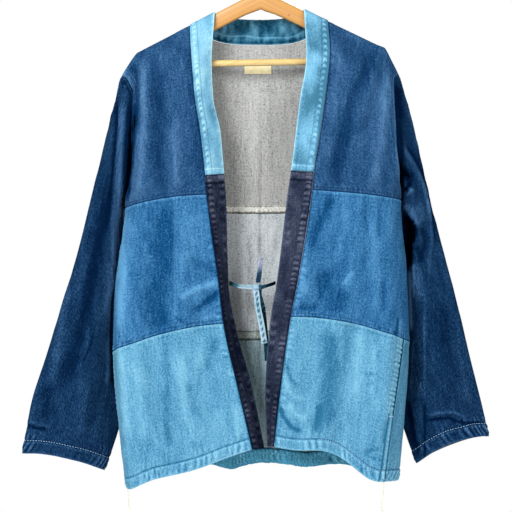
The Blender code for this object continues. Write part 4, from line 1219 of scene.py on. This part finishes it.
for side in SIDES:
    for block, (level_name, top, low, outer, slot) in enumerate((
        ("upper", SHOULDER, BAND_JOINT, LIGHT_OUT, "band_denim"),
        ("lower", BAND_JOINT, HEM, BLACK_OUT, "black_denim"),
    )):
        levels = np.linspace(top + GAP / 2, low - GAP / 2, int((low - top) / 0.0020))
        if top == SHOULDER:
            levels = shoulder_levels(levels, 0.002)
        piece = Cloth(lambda across, level: band_point(side, across, level),
                      np.linspace(BAND_GAP / BAND_WIDTH, 1, 30), levels, SIGN[side])
        seed = 500 + block * 10 + 20 * (side == "left")
        band_relief(piece, seed, block)
        # The light band on the left is painted darker, as shade, and the one on the right a little paler;
        # the right black band is a little darker
        if slot == "band_denim":
            piece.tone = piece.tone + (0.06 if side == "right" else -0.22)
        elif side == "right":
            piece.tone = piece.tone - 0.10
        if block:
            piece.groove(piece.v - 0.0150, 0.0016, -0.0007, -0.60)
            piece.groove(piece.v - 0.0070, 0.0060, 0.0004, 0.22)
            piece.groove(piece.v, 0.0018, 0.0, -0.50)
        else:
            piece.groove(piece.v_left - 0.0100, 0.0014, -0.0004, 0.45)
            piece.groove(piece.v_left - 0.0050, 0.0030, 0.0004, 0.15)
        cloths[f"band_{level_name}_{side}"] = piece
        obj = piece.build(f"Band_{level_name}_{side}", BAND_CLOTH, outer, outer, 0.5, seed * 0.01)
        finished(obj, slot, f"band_{level_name}_{side}")

# Creases of the neck band, as on the fronts, with painted shade and highlight
NECK_CREASES = (
    (2.5, -1.2, 0.50, -18, -130, -17, -141, -18, -151),
    (2.5, -1.2, 0.45, -4, -132, -1, -143, -3, -151),
    (5, -1.5, 0.55, -59, -128, -52, -136),
    (4, 1.5, -0.50, -36, -132, -31, -146),
    (4, 1.5, -0.45, 13, -128, 18, -144),
    (3, -1.2, 0.35, 36, -132, 33, -148),
    (8, 2, -0.50, -78, -136, -75, -157),
    (8, 2, -0.45, 70, -136, 71, -153),
)

piece = Cloth(lambda along, across: neck_point(across, along),
              np.linspace(NECK_END - 1, 1 - NECK_END, NECK_COLUMNS),
              np.linspace(NECK_GAP / BAND_WIDTH, 1, 28), 1)
piece.u = piece.u - piece.u[:, [NECK_COLUMNS // 2]]  # counted from the middle of the neck
piece.wrinkle(0.015, 0.036, 0.0018, 560, 0.32)
piece.wrinkle(0.006, 0.014, 0.0006, 562, 0.26)
piece.gather(piece.u, piece.v, BAND_STRIP, 0.0110, 0.0010, 561, 0.15, 0.30)
piece.gather(piece.u, piece.v - BAND_STRIP, 0.024, 0.0190, 0.0010, 563, -0.15, 0.20)
piece.gather(piece.u, piece.v_left, 0.012, 0.0160, 0.0010, 565, 0.2, 0.26)
piece.groove(piece.v - BAND_STRIP + 0.0030 * cloud(piece.u / 0.03, 0 * piece.u, 567), 0.0018, -0.0006, 0.60)
piece.groove(piece.v - 0.0035, 0.0024, 0.0, -0.50)
piece.groove(piece.v, 0.0020, 0.0, 0.70)
piece.groove(piece.v_left, 0.0022, 0.0, 0.30)
piece.strokes(NECK_CREASES, inside=True)
obj = piece.build("Band_neck", BAND_CLOTH, TEAL_OUT, TEAL_OUT, 0.5, 5.6)
finished(obj, "neck_denim", "band_neck")
float(np.ptp(piece.u, axis=1).mean())


# ---------------------------------------------------------------------------------------------
# Sleeves. Each is one straight piece of dark denim folded round the arm and sewn into the
# armhole; it hangs empty, its lower part behind the body. The cuff hem has one white seam.
CUFF_WIDTH = 0.023
SLEEVE_GAP = 0.0006  # between the sleeve and the armhole
HEAD_REACH = 0.24  # how far down the sleeve the armhole's own shape still shows

# One row for each ring of a sleeve: how far from the armhole (0) to the cuff (1), y of the outer
# edge and of the inner edge behind the body's side, and how far the cloth stands out in front of
# and behind the line between them
SLEEVE_RINGS = (
    (0.00, 0.000, -0.004, 0.036, 0.036),
    (0.05, 0.002, 0.006, 0.036, 0.034),
    (0.12, 0.005, 0.024, 0.035, 0.031),
    (0.22, 0.009, 0.050, 0.034, 0.028),
    (0.33, 0.014, 0.063, 0.032, 0.026),
    (0.48, 0.018, 0.068, 0.032, 0.024),
    (0.62, 0.020, 0.064, 0.030, 0.022),
    (0.76, 0.020, 0.054, 0.027, 0.020),
    (0.88, 0.018, 0.044, 0.023, 0.018),
    (1.00, 0.016, 0.034, 0.018, 0.015),
)

# x and z of the outer edge, x and z of the inner edge, and how far the cuff's front bows upwards
SLEEVES = {
    "right": (
        (0.2475, -0.2310, 0.2385, -0.4620, 0.000),
        (0.2530, -0.2580, 0.2445, -0.4680, 0.000),
        (0.2620, -0.2960, 0.2425, -0.4860, 0.000),
        (0.2750, -0.3520, 0.2370, -0.5270, 0.000),
        (0.2950, -0.4250, 0.2320, -0.5800, 0.000),
        (0.3230, -0.5370, 0.2170, -0.6500, 0.000),
        (0.3520, -0.6320, 0.2220, -0.7250, 0.000),
        (0.3810, -0.7250, 0.2400, -0.7950, 0.002),
        (0.4050, -0.8050, 0.2570, -0.8600, 0.006),
        (0.4210, -0.8930, 0.2790, -0.9250, 0.010),
    ),
    "left": (
        (0.2465, -0.2300, 0.2475, -0.4480, 0.000),
        (0.2535, -0.2580, 0.2530, -0.4540, 0.000),
        (0.2630, -0.2960, 0.2510, -0.4730, 0.000),
        (0.2770, -0.3520, 0.2450, -0.5180, 0.000),
        (0.2960, -0.4250, 0.2390, -0.5750, 0.000),
        (0.3230, -0.5370, 0.2220, -0.6450, 0.000),
        (0.3490, -0.6320, 0.2260, -0.7200, 0.000),
        (0.3710, -0.7220, 0.2400, -0.7900, 0.004),
        (0.3900, -0.8000, 0.2570, -0.8500, 0.010),
        (0.4035, -0.8630, 0.2790, -0.9130, 0.016),
    ),
}

# The long folds of a sleeve: where each lies at its top and at its foot, how far down the sleeve
# the two are, its half width, and how far it stands out. Where goes from the inner edge (0) over
# the front to the outer edge (0.5) and back behind.
SLEEVE_FOLDS = {
    "right": (
        (0.30, 0.22, 0.02, 1.10, 0.050, 0.0070),
        (0.40, 0.36, 0.10, 1.10, 0.050, -0.0050),
        (0.12, 0.10, 0.10, 0.80, 0.050, -0.0080),
        (0.66, 0.70, 0.05, 1.10, 0.050, 0.0060),
        (0.80, 0.84, 0.15, 1.00, 0.050, -0.0070),
    ),
    "left": (
        (0.26, 0.30, 0.10, 1.10, 0.055, 0.0090),
        (0.17, 0.15, 0.12, 0.85, 0.050, -0.0110),
        (0.40, 0.40, 0.20, 1.10, 0.050, -0.0050),
        (0.62, 0.66, 0.05, 1.10, 0.055, 0.0070),
        (0.78, 0.80, 0.20, 1.00, 0.050, -0.0070),
    ),
}


def sleeve_ring(side, around, along):
    """Points of a sleeve's ring, from its inner edge (0) over the front to the outer edge (0.5)."""
    rows = np.column_stack([SLEEVE_RINGS, SLEEVES[side]])
    outer_y, inner_y, front, back, outer_x, outer_z, inner_x, inner_z, bow = columns_at(rows, along)
    turn = 2 * math.pi * around
    part = (1 - np.cos(turn)) / 2
    out = np.sin(turn)
    depth = np.where(out > 0, front, back)
    x = mix(inner_x, outer_x, part)
    y = mix(inner_y, outer_y, part) - depth * np.sign(out) * np.abs(out) ** 0.8
    z = mix(inner_z, outer_z, part) + bow * 4 * part * (1 - part) * np.where(out > 0, 1, 0.4)
    return np.stack([SIGN[side] * x, y, z], axis=-1)


def armhole_point(side, around):
    """The armhole, from the underarm (0) up the front to the shoulder (0.5) and down the back."""
    level = CHEST_SEAM * (1 + np.cos(2 * math.pi * around)) / 2
    front = around <= 0.5
    where = np.where(front, side_where(side, level), armhole_back_where(side, level))
    edge = body_point(side, where, level)
    onward = edge - body_point(side, where + np.where(front, -0.02, 0.02), level)
    under = bump(np.minimum(around, 1 - around), 0.05)[..., None]
    onward = onward / np.linalg.norm(onward, axis=-1, keepdims=True)
    onward = mix(onward, np.array([SIGN[side], 0, 0]), under)
    point = edge + onward / np.linalg.norm(onward, axis=-1, keepdims=True) * SLEEVE_GAP
    point[..., 1] *= ease(np.abs(around - 0.5) / 0.04)
    return point


def sleeve_point(side, around, along):
    """Points of a sleeve, around it as above, and from the armhole (0) to the cuff (1)."""
    point = sleeve_ring(side, around, along)
    for round_top, round_low, top, low, width, depth in SLEEVE_FOLDS[side]:
        part = (along - top) / (low - top)
        fold = abs(depth) * ease(part * 4) * ease((1 - part) * 6) * ((part > 0) & (part < 1))
        fold = fold * bump(around - mix(round_top, round_low, part), width)
        point[..., 1] -= fold * np.sign(depth * (0.5 - around))
    head = 1 - ease(along / HEAD_REACH)
    return point + (armhole_point(side, around) - sleeve_ring(side, around, 0 * along)) * head[..., None]


SLEEVE_OUT = denim("Sleeve_denim", LIT, (4, 26, 56), (24, 58, 94), (72, 112, 156), 0.72, 0.22, 0.25)
# The sleeves' reverse is painted a darker blue-grey than the body's grey reverse: painted shade inside the
# sleeves
SLEEVE_IN_SHADED = denim("Sleeve_reverse_shaded", LIT_INSIDE, (40, 48, 62), (84, 92, 106), (128, 134, 146),
                  0.45, 0.35, 0.2)

# Creases of the sleeves' fronts, as on the body. Their paleness paints shade and highlight, and the deepest
# paint near-black shadow in the recesses between the sleeves and the body
SLEEVE_CREASES = {
    "right": (
        (6, -7, -2.60, -226, -276, -228, -322, -229, -366, -231, -410, -237, -454),
        (2, -1, -0.43, -245, -234, -230, -255, -219, -301),
        (8, 4, 0.45, -242, -262, -243, -322, -245, -375, -252, -445, -258, -516, -263, -586, -267,
         -674),
        (1.5, 0.5, 0.72, -240, -242, -236, -248),
        (3, 1, 0.27, -268, -679, -268, -727, -270, -778),
        (3.5, -4, -0.58, -253, -266, -254, -313, -258, -357, -264, -428, -272, -498),
        (12, -4, -0.40, -268, -410, -277, -472, -286, -524, -297, -595, -309, -653, -332, -727,
         -353, -783),
        (8, 1, 0.24, -335, -595, -348, -639, -356, -701, -367, -771),
        (10, 1.5, 0.10, -304, -766, -311, -815, -318, -861),
        (2, -1.5, -0.36, -293, -681, -302, -709, -313, -732),
        (8, -1.5, -0.22, -374, -769, -381, -833),
        (2.2, -2, -0.65, -412, -842, -392, -847, -376, -848),
        (1.8, 1, 0.22, -411, -834, -388, -840, -370, -845),
        (4, -3, -0.43, -260, -604, -260, -692, -258, -780),
    ),
    "left": (
        (2, -1, -0.43, 238, -241, 238, -287, 238, -357),
        (5, -2, -0.43, 244, -245, 245, -278, 251, -304),
        (5, 1.5, 0.29, 256, -255, 268, -313, 281, -366),
        (4, 2.5, 0.35, 244, -345, 253, -357, 265, -375, 275, -394, 286, -417, 295, -445, 298, -477),
        (3, -2, -0.40, 258, -350, 274, -375, 288, -403, 300, -442, 304, -480),
        (5, -5, -1.80, 244, -382, 253, -394, 265, -410),
        (4, -4, -1.40, 265, -414, 258, -424, 253, -428),
        (3, 2.5, 0.50, 253, -419, 261, -425, 267, -428, 258, -438),
        (7, 3.5, 0.45, 254, -452, 263, -463, 270, -475, 277, -495),
        (8, 3, 0.24, 272, -454, 282, -466, 291, -484),
        (6, -8, -2.60, 255, -472, 260, -491, 261, -512, 260, -537, 261, -565),
        (4, -6, -1.60, 265, -480, 272, -502, 267, -519),
        (7, 2.5, 0.26, 270, -554, 277, -586, 281, -621),
        (5, -3, -0.40, 275, -526, 281, -540, 282, -558),
        (5, -3, -0.29, 282, -491, 293, -516, 289, -537),
        (3, 1.5, 0.26, 291, -436, 297, -465, 302, -516, 297, -551, 296, -590),
        (3, -2, -0.32, 293, -431, 304, -466, 309, -523),
        (2, 1, 0.36, 271, -554, 271, -621),
        (4, 2, 1.20, 261, -565, 263, -621, 264, -678),
        (2, 1, 0.35, 289, -614, 289, -692, 289, -794),
        (3, 1.5, 0.32, 270, -681, 267, -727, 265, -781),
        (3, 1, 0.22, 281, -766, 279, -794),
        (5, -4, -0.65, 258, -797, 263, -833, 270, -868, 279, -894),
        (2, -1.5, -0.58, 289, -797, 289, -850, 289, -906),
        (2.5, -2, -0.72, 291, -834, 309, -831, 330, -829, 349, -836, 367, -838, 392, -838),
        (2.5, 1.5, 0.30, 295, -824, 316, -819, 337, -818, 360, -827),
        (8, -1.5, -0.16, 316, -621, 325, -709, 334, -780),
        (7, 1, 0.12, 342, -674, 355, -745, 365, -806),
    ),
}

# Creases of the sleeves' backs, with painted shade and highlight
SLEEVE_BACK_CREASES = {
    "right": (
        (14, 3, -0.30, -251, -252, -268, -410, -297, -568, -335, -762),
        (9, -2, 0.22, -240, -304, -247, -480, -268, -621),
        (5, 3, -0.40, -219, -357, -251, -392, -286, -414),
        (4, 3, -0.36, -223, -401, -254, -438, -290, -466),
        (8, 2, -0.26, -353, -674, -363, -780, -370, -850),
    ),
    "left": (
        (14, 3, -0.30, 242, -252, 263, -410, 295, -568, 326, -762),
        (9, -2, 0.22, 231, -304, 238, -480, 267, -639),
        (5, 3, -0.40, 217, -375, 249, -396, 284, -428),
        (4, 3, -0.36, 224, -428, 253, -456, 288, -491),
        (8, 2, -0.26, 348, -674, 362, -780, 369, -832),
    ),
}


def cloth_area(points):
    """The area of a grid of cloth, for a piece whose rows lie at a slant to its length."""
    across, down = points[:-1, 1:] - points[:-1, :-1], points[1:, :-1] - points[:-1, :-1]
    return float(np.linalg.norm(np.cross(across, down), axis=-1).sum())


# The rows lie closer together at the armhole and in the cuff
turns = np.concatenate([np.linspace(0, 0.5, 101), np.linspace(0.5, 1, 70)[1:]])
places = np.concatenate([np.linspace(0, 0.02, 5), np.linspace(0.02, 0.955, 205)[1:],
                         np.linspace(0.955, 1, 17)[1:]])
for side in SIDES:
    piece = Cloth(lambda around, along: sleeve_point(side, around % 1.0, along), turns, places,
                  -SIGN[side], closed=True)
    seed = 600 + 30 * (side == "left")
    cloth_relief(piece, seed, 0.6)
    piece.gather(piece.u, piece.v, 0.012, 0.0085, 0.0004, seed + 4, pale=0.18)
    # Painted shade: near black at the underarm close to the armhole; each sleeve also a little darker all
    # over, the left more
    underarm = bump(np.minimum(piece.across, 1 - piece.across), 0.16) * (1 - ease((piece.v - 0.02) / 0.06))
    piece.tone = piece.tone - 3.6 * underarm - (0.14 if side == "left" else 0.08)
    piece.strokes(SLEEVE_CREASES[side])
    piece.strokes(SLEEVE_BACK_CREASES[side], inside=True)
    hem_relief(piece, CUFF_WIDTH, seed + 5)
    cloths[f"sleeve_{side}"] = piece
    obj = piece.build(f"Sleeve_{side}", DENIM, SLEEVE_OUT, SLEEVE_IN_SHADED, 0.3, seed * 0.01)
    finished(obj, "sleeve_denim", f"sleeve_{side}")
    length = float(piece.v[-1].mean())
    cloth_area(piece.points) / length


# ---------------------------------------------------------------------------------------------
# Ties. Two flat denim tapes, a pale one from the right band and a dark one from the left, are
# knotted once at the waist. Their tails hang down, and one short end stands up from the knot.
TAPE_CLOTH = 0.0020
TAPE_WIDTH = 0.010
DOT_PITCH = 0.0105  # the dots down the middle of the pale tape
KNOT_CENTRE = (-0.0055, -0.0205, -0.5985)

# Each point is a place on the middle of the tape, then the direction of its width
TIES = {
    "tie_strap_right": (
        ((-0.0549, -0.0095, -0.5915), (0, 0.80, 0.60)),
        ((-0.0330, -0.0150, -0.5975), (0, 0.86, 0.50)),
        ((-0.0141, -0.0188, -0.5985), (0, 0.70, 0.71)),
    ),
    "tie_strap_left": (
        ((0.0261, -0.0331, -0.5903), (0, 0.86, 0.50)),
        ((0.0120, -0.0260, -0.5955), (0, 0.90, 0.42)),
        ((0.0035, -0.0200, -0.5980), (0, 0.80, 0.60)),
    ),
    "tie_end_up": (
        ((-0.0045, -0.0190, -0.5902), (0.80, 0.60, 0)),
        ((-0.0015, -0.0165, -0.5700), (0.74, 0.67, 0)),
        ((0.0005, -0.0170, -0.5460), (0.60, 0.80, 0)),
    ),
    "tie_tail_front": (
        ((-0.0080, -0.0250, -0.6058), (0.97, 0.10, 0.20)),
        ((-0.0050, -0.0275, -0.6300), (0.97, 0.10, 0.16)),
        ((0.0010, -0.0265, -0.6600), (0.98, 0.10, 0.16)),
        ((0.0070, -0.0250, -0.6960), (0.98, 0.14, 0.16)),
    ),
    "tie_tail_back": (
        ((-0.0025, -0.0185, -0.6065), (0.80, 0.58, 0.10)),
        ((0.0040, -0.0150, -0.6350), (0.78, 0.60, 0.12)),
        ((0.0085, -0.0140, -0.6800), (0.80, 0.58, 0.12)),
        ((0.0120, -0.0150, -0.7270), (0.86, 0.50, 0.10)),
    ),
}
TIE_ROUTES = {
    "Tie_right": ("tie_strap_right", "tie_tail_front"),
    "Tie_left": ("tie_strap_left", "tie_tail_back"),
    "Tie_end_up": ("tie_end_up",),
}
TIE_PALE = denim("Tie_denim", LIT, (58, 104, 122), (142, 182, 202), (206, 228, 240), 0.35, 0.2, 0.4)
TIE_DARK = denim("Tie_denim_dark", LIT, (8, 28, 44), (44, 84, 106), (112, 152, 170), 0.35, 0.2, 0.4)
TIE_STUB = denim("Tie_end_denim", LIT, (34, 66, 92), (112, 142, 172), (212, 216, 242), 0.35, 0.2, 0.4)

# The denim of each tie, how far along it comes out of the shade, how dark it is there, and how
# pale in all
TIE_LOOKS = {
    "Tie_right": (TIE_PALE, 0.022, 2.0, 0.04),
    "Tie_left": (TIE_DARK, 0.024, 1.5, -0.10),
    "Tie_end_up": (TIE_STUB, 0.040, 1.2, 0.50),
}


def distances(points):
    """How far each of these points is from the first, along the line through them."""
    return np.concatenate([[0], np.cumsum(np.linalg.norm(np.diff(points, axis=0), axis=1))])


def route_table(rows):
    """Distance along a tie's middle, its points, and the direction of its width."""
    table = np.array([(*point, *width) for point, width in rows], float)
    return np.column_stack([distances(table[:, :3]), table])


def tape_form(table, across, along):
    """Points of a tape, from one of its edges (0) to the other (1) and from end to end."""
    at = table_at(table, along * table[-1, 0])
    side = at[..., 3:] / np.linalg.norm(at[..., 3:], axis=-1, keepdims=True)
    return at[..., :3] + side * TAPE_WIDTH * (across[..., None] - 0.5)


tie_pieces, tie_paths = {}, {}
for name, parts in TIE_ROUTES.items():
    rows = [row for part in parts for row in TIES[part]]
    table = route_table(rows)
    piece = Cloth(lambda across, along: tape_form(table, across, along), np.linspace(0, 1, 11),
                  np.linspace(0, 1, int(table[-1, 0] / 0.0012)), 1)
    piece.gather(piece.v, piece.u, 0.0050, 0.0110, 0.0005, 710, 0.2, 0.30)
    piece.gather(piece.v, piece.u_left, 0.0050, 0.0110, 0.0005, 711, 0.2, 0.30)
    piece.wrinkle(0.006, 0.012, 0.0003, 712, 0.10)
    piece.groove(piece.v_left - 0.0040, 0.0008, -0.0003, -0.5)
    paint, far, dark, pale = TIE_LOOKS[name]
    piece.tone = piece.tone + pale - dark * (1 - ease(piece.v / far))
    if name == "Tie_right":
        dots = bump(piece.v % DOT_PITCH - DOT_PITCH / 2, 0.0022) * ease((piece.v - 0.048) / 0.004)
        dots = dots * bump(piece.u - TAPE_WIDTH / 2, 0.0018)
        piece.push(-0.0004 * dots, -0.85 * dots)
        piece.groove(piece.u, 0.0016, 0.0, 0.35)
        piece.groove(piece.u_left, 0.0016, 0.0, 0.35)
    tie_pieces[name] = piece.build(name, TAPE_CLOTH, paint, paint, 0.5, 7.0)
    tie_paths[name] = table_at(table, np.linspace(0, table[-1, 0], 40))[:, :3]
    finished(tie_pieces[name], "tie_denim", *parts)


def wrap_form(tilt, radii, width, sideways, around, across):
    """A turn of tape round the knot, leaning this way and moved sideways."""
    angle = 2 * math.pi * around
    swell = 1 - 0.30 * (2 * across - 1) ** 4
    flat = np.stack([radii[0] * np.cos(angle) * swell, radii[1] * np.sin(angle) * swell,
                     width * (across - 0.5)], axis=-1)
    lean = np.array([[math.cos(tilt), 0, math.sin(tilt)], [0, 1, 0], [-math.sin(tilt), 0, math.cos(tilt)]])
    return flat @ lean.T + np.array(KNOT_CENTRE) + np.array([sideways, 0, 0])


knot_parts = []
for k, (paint, tilt, radii, width, sideways) in enumerate((
    (TIE_PALE, 1.38, (0.0060, 0.0062), 0.0098, -0.0022),
    (TIE_DARK, 0.22, (0.0066, 0.0044), 0.0060, 0.0004),
    (TIE_DARK, -0.75, (0.0042, 0.0050), 0.0062, 0.0040),
)):
    piece = Cloth(lambda around, across: wrap_form(tilt, radii, width, sideways, around, across),
                  np.linspace(0, 1, 49), np.linspace(0, 1, 11), -1, closed=True)
    piece.wrinkle(0.004, 0.004, 0.0004, 720 + k, 0.25)
    piece.groove(piece.v, 0.0010, 0.0, 0.5)
    piece.groove(piece.v_left, 0.0010, 0.0, 0.5)
    knot_parts.append(piece.build(f"Tie_knot_{k + 1}", TAPE_CLOTH, paint, paint, 0.5, 7.0))
    finished(knot_parts[k], "tie_denim", "tie_knot")

for name, extra in (("Tie_right", [tie_pieces["Tie_end_up"], *knot_parts]), ("Tie_left", [])):
    path = tie_paths[name]
    length = float(np.linalg.norm(np.diff(path, axis=0), axis=1).sum())
    tuple(path[0])
    [tuple(p) for p in path]


# ---------------------------------------------------------------------------------------------
# Label. A plain tab of cream cotton, woven one over one and a little yellowed with age. It is
# sewn inside the back, just under the hanger's bar.
LABEL_X = (-0.0285, 0.0195)
LABEL_Z = (-0.2185, -0.1985)
LABEL_CLOTH = 0.0010
LABEL_LOOSE = 0.0003  # between the label and the back, beyond the usual gap
LABEL_DIP = 0.0004  # how far it sinks into the back's creases at most

cotton = Paint("Label_cotton", roughness=0.85)
cut = cotton.node("ShaderNodeUVMap", {"uv_map": "cut"})
threads = cotton.noise(cut, (1800.0, 300.0, 1.0)) + cotton.noise(cut, (300.0, 1800.0, 1.0))
age = cotton.noise(cut, (90.0, 90.0, 1.0), 2.0)
cotton.set("Base Color", cotton.mixed(threads * 0.5 + (age - 0.5) * 0.8, shade(196, 178, 124, LIT_INSIDE),
                                      shade(240, 230, 188, LIT_INSIDE)))
cotton.bump(threads, 0.0003, 0.5)

# The middle of the back round the label
wheres, levels = np.meshgrid(np.linspace(1.85, 2.0, 24), np.linspace(0.02, 0.08, 48), indexing="ij")
near_back = np.concatenate([body_point(side, wheres.ravel(), levels.ravel()) for side in SIDES])


def label_form(across, down):
    """Points of the label, which lies on the back's inner face."""
    x, z = mix(*LABEL_X, across), mix(*LABEL_Z, 1 - down)
    far = np.hypot(near_back[:, 0] - x[..., None], near_back[:, 2] - z[..., None])
    y = near_back[np.argmin(far, axis=-1), 1]
    y = np.minimum(y, y.mean(axis=1, keepdims=True) + LABEL_DIP)
    return np.stack([x, y - DENIM / 2 - GAP - LABEL_CLOTH / 2 - LABEL_LOOSE, z], axis=-1)


piece = Cloth(label_form, np.linspace(0, 1, 33), np.linspace(0, 1, 15), -1)
label = piece.build("Label", LABEL_CLOTH, cotton, cotton)
finished(label, "label_cotton", "label")


# ---------------------------------------------------------------------------------------------
# Sewing. Rows of stitches on the cloth: blue along the seams, off-white at the cuffs and along
# parts of the hem, brown on the black bands, and a bar tack below the pocket's opening.
STITCH = (0.0026, 0.0034, 0.0007)  # length, pitch and thickness
HEM_STITCH = (0.0030, 0.0042, 0.0012)
SKY_STITCH = (0.0028, 0.0038, 0.0009)
CUFF_STITCH = (0.0034, 0.0048, 0.0012)
TACK_STITCH = (0.0028, 0.0013, 0.0034)
FRAYED_STITCH = (0.0042, 0.0034, 0.0009)
STITCH_LOOSE = 0.0003  # how unevenly they are spaced
STITCH_SLANT = 0.0004
LIT_CUFF = 2.2  # light that reaches the cuffs and the hem

# A little ball one unit across, as points and faces to be copied, in the same order each run
bm = bmesh.new()
bmesh.ops.create_uvsphere(bm, u_segments=6, v_segments=4, radius=0.5)
bm.verts.index_update()
ball_points = np.array([vert.co for vert in bm.verts])
ball_faces = sorted([vert.index for vert in face.verts] for face in bm.faces)
bm.free()


def scatter(name, centres, axes, paint, slot):
    """One mesh of small balls, each stretched along its own three axes."""
    points = centres[:, None] + np.einsum("pk,nkc->npc", ball_points, axes)
    starts = len(ball_points) * np.arange(len(centres))
    mesh = bpy.data.meshes.new(name)
    mesh.from_pydata(points.reshape(-1, 3).tolist(), [],
                     [[first + i for i in face] for first in starts.tolist() for face in ball_faces])
    mesh.shade_smooth()
    return finished(add_object(name, mesh, paint), slot)


def sew(name, rows, paint, slot, wall=DENIM, stitch=STITCH):
    """Stitches of this kind along each row, on cloth with this wall."""
    length, pitch, thick = stitch
    loose = np.random.default_rng(len(rows))
    centres, axes = [], []
    for row in rows:
        steps = distances(row[:, :3])
        middles = np.arange(pitch / 2, steps[-1] - length / 2, pitch)
        middles = middles + loose.uniform(-STITCH_LOOSE, STITCH_LOOSE, len(middles))
        first, middle, last = (
            np.stack([np.interp(place, steps, column) for column in row.T], axis=-1)
            for place in (middles - length / 2, middles, middles + length / 2)
        )
        normal = middle[:, 3:] / np.linalg.norm(middle[:, 3:], axis=-1, keepdims=True)
        along = last[:, :3] - first[:, :3]
        sideways = np.cross(normal, along)
        sideways /= np.maximum(np.linalg.norm(sideways, axis=-1, keepdims=True), 1e-9)
        along = along + sideways * loose.uniform(-STITCH_SLANT, STITCH_SLANT, (len(middles), 1))
        centres.append(middle[:, :3] + normal * (wall / 2 + thick * 0.1))
        axes.append(np.stack([sideways * thick, normal * thick * 0.8, along], axis=1))
    return scatter(name, np.concatenate(centres), np.concatenate(axes), paint, slot)


def rows_along(*places):
    """Rows of stitches, each from a piece, its edge, how far in, and from and to along that edge."""
    return [along_edge(cloths[name], edge, far, *part) for name, edge, far, *part in places]


def thread(name, colour):
    """Sewing thread, worn darker here and there."""
    paint = Paint(name, roughness=0.8)
    place = paint.node("ShaderNodeTexCoord", out=3)
    worn = paint.noise(place, (420.0, 420.0, 420.0), 1.0)
    paint.set("Base Color", paint.mixed((worn - 0.3) * 1.6, tuple(0.5 * c for c in colour), colour))
    paint.set("Specular IOR Level", 0.1)
    return paint


WHITE_THREAD = thread("White_thread", shade(168, 212, 250, LIT_CUFF))
SEAM_THREAD = thread("Seam_thread", shade(34, 72, 118, LIT))
SKY_THREAD = thread("Sky_thread", shade(116, 166, 204, LIT))
BAND_THREAD = thread("Band_thread", shade(84, 142, 176, LIT))
BROWN_THREAD = thread("Brown_thread", shade(98, 70, 86, LIT))

seams = []
for side in SIDES:
    for name in (f"front_upper_{side}", "back_upper", f"front_middle_{side}", "back_middle"):
        seams += rows_along((name, "low", JOINT_STITCH))
    seams += rows_along((f"front_lower_{side}", "low", HEM_WIDTH, 0.0, 0.99),
                        (f"front_upper_{side}", "right", 0.004, 0.32, 0.98))
seams += rows_along(("back_lower", "low", HEM_WIDTH))
sew("Stitching_seams", seams, SEAM_THREAD, "dark_denim")

hem = rows_along(("front_lower_right", "low", 0.0022, 0.02, 0.30),
                 ("front_lower_left", "low", HEM_WIDTH - 0.0008, 0.40, 0.97))
sew("Stitching_white", hem, WHITE_THREAD, "cream_thread", DENIM, HEM_STITCH)

# Sky blue beside the armholes, the left side seam and the pocket
sky = rows_along(
    ("front_upper_right", "right", 0.0035, 0.03, 0.34),
    ("front_upper_right", "right", 0.0095, 0.05, 0.30),
    ("front_upper_left", "right", 0.0030, 0.03, 0.97),
    ("front_lower_left", "right", 0.0035, 0.62, 0.99),
    ("front_lower_left", "right", 0.0100, 0.62, 0.99),
    ("front_lower_left", "right", 0.0125, 0.06, 0.58),
)
sew("Stitching_sky", sky, SKY_THREAD, "band_denim", DENIM, SKY_STITCH)

cuffs = rows_along(*((f"sleeve_{side}", "low", CUFF_WIDTH) for side in SIDES))
sew("Stitching_cuffs", cuffs, WHITE_THREAD, "cream_thread", DENIM, CUFF_STITCH)
for block, paint, slot in (("upper", BAND_THREAD, "band_denim"), ("lower", BROWN_THREAD, "black_denim")):
    rows = rows_along(*((f"band_{block}_{side}", "left", BAND_STRIP) for side in SIDES))
    sew(f"Stitching_bands_{block}", rows, paint, slot, BAND_CLOTH)

# The bar tack is a short row of thick stitches side by side across the pocket seam's lower end
tack = cloths["front_lower_left"]
level = int(np.argmin(np.abs(tack.v[:, -1] - (POCKET_LOW - 0.001))))
inside = (tack.u_left[level] > 0.0004) & (tack.u_left[level] < 0.0130)
tack_row = np.hstack([tack.points[level], tack.normals()[level]])[inside][::-1]
sew("Bar_tack", [tack_row], WHITE_THREAD, "cream_thread", DENIM, TACK_STITCH)

# A frayed thread lies along the folded edge of the left black band
frayed = rows_along(("band_lower_left", "right", 0.0016, 0.52, 0.93))
wander = np.cumsum(np.random.default_rng(9).uniform(-0.5, 0.5, len(frayed[0])))
frayed[0][:, 0] += 0.0009 * np.sin(wander)
sew("Thread_frayed", frayed, BAND_THREAD, "band_denim", BAND_CLOTH, FRAYED_STITCH)


# ---------------------------------------------------------------------------------------------
# Loose threads. The tail of each side seam's cream thread was left uncut and hangs limp below
# the hem.
THREAD = 0.0012  # thickness
THREADS = {
    "thread_right": (
        (-0.2352, -0.0057, -0.9441), (-0.2338, -0.0056, -0.9530), (-0.2312, -0.0060, -0.9640),
        (-0.2318, -0.0055, -0.9760), (-0.2296, -0.0050, -0.9880),
    ),
    "thread_left": (
        (0.2128, -0.0473, -0.9333), (0.2122, -0.0462, -0.9500), (0.2108, -0.0455, -0.9640),
        (0.2085, -0.0450, -0.9760), (0.2100, -0.0445, -0.9830), (0.2140, -0.0440, -0.9880),
    ),
}

cream = thread("Cream_thread", shade(240, 232, 190, LIT_INSIDE))


def smooth_route(points, count):
    """Evenly spaced points on a smooth curve through these."""
    steps = distances(points)
    return table_at(np.column_stack([steps, points]), np.linspace(0, steps[-1], count))


for side in SIDES:
    path = smooth_route(THREADS[f"thread_{side}"], 48)
    obj = finished(tube(f"Thread_{side}", path, THREAD / 2, cream, 3), "cream_thread", f"thread_{side}")
    length = float(np.linalg.norm(np.diff(path, axis=0), axis=1).sum())
    tuple(path[0])
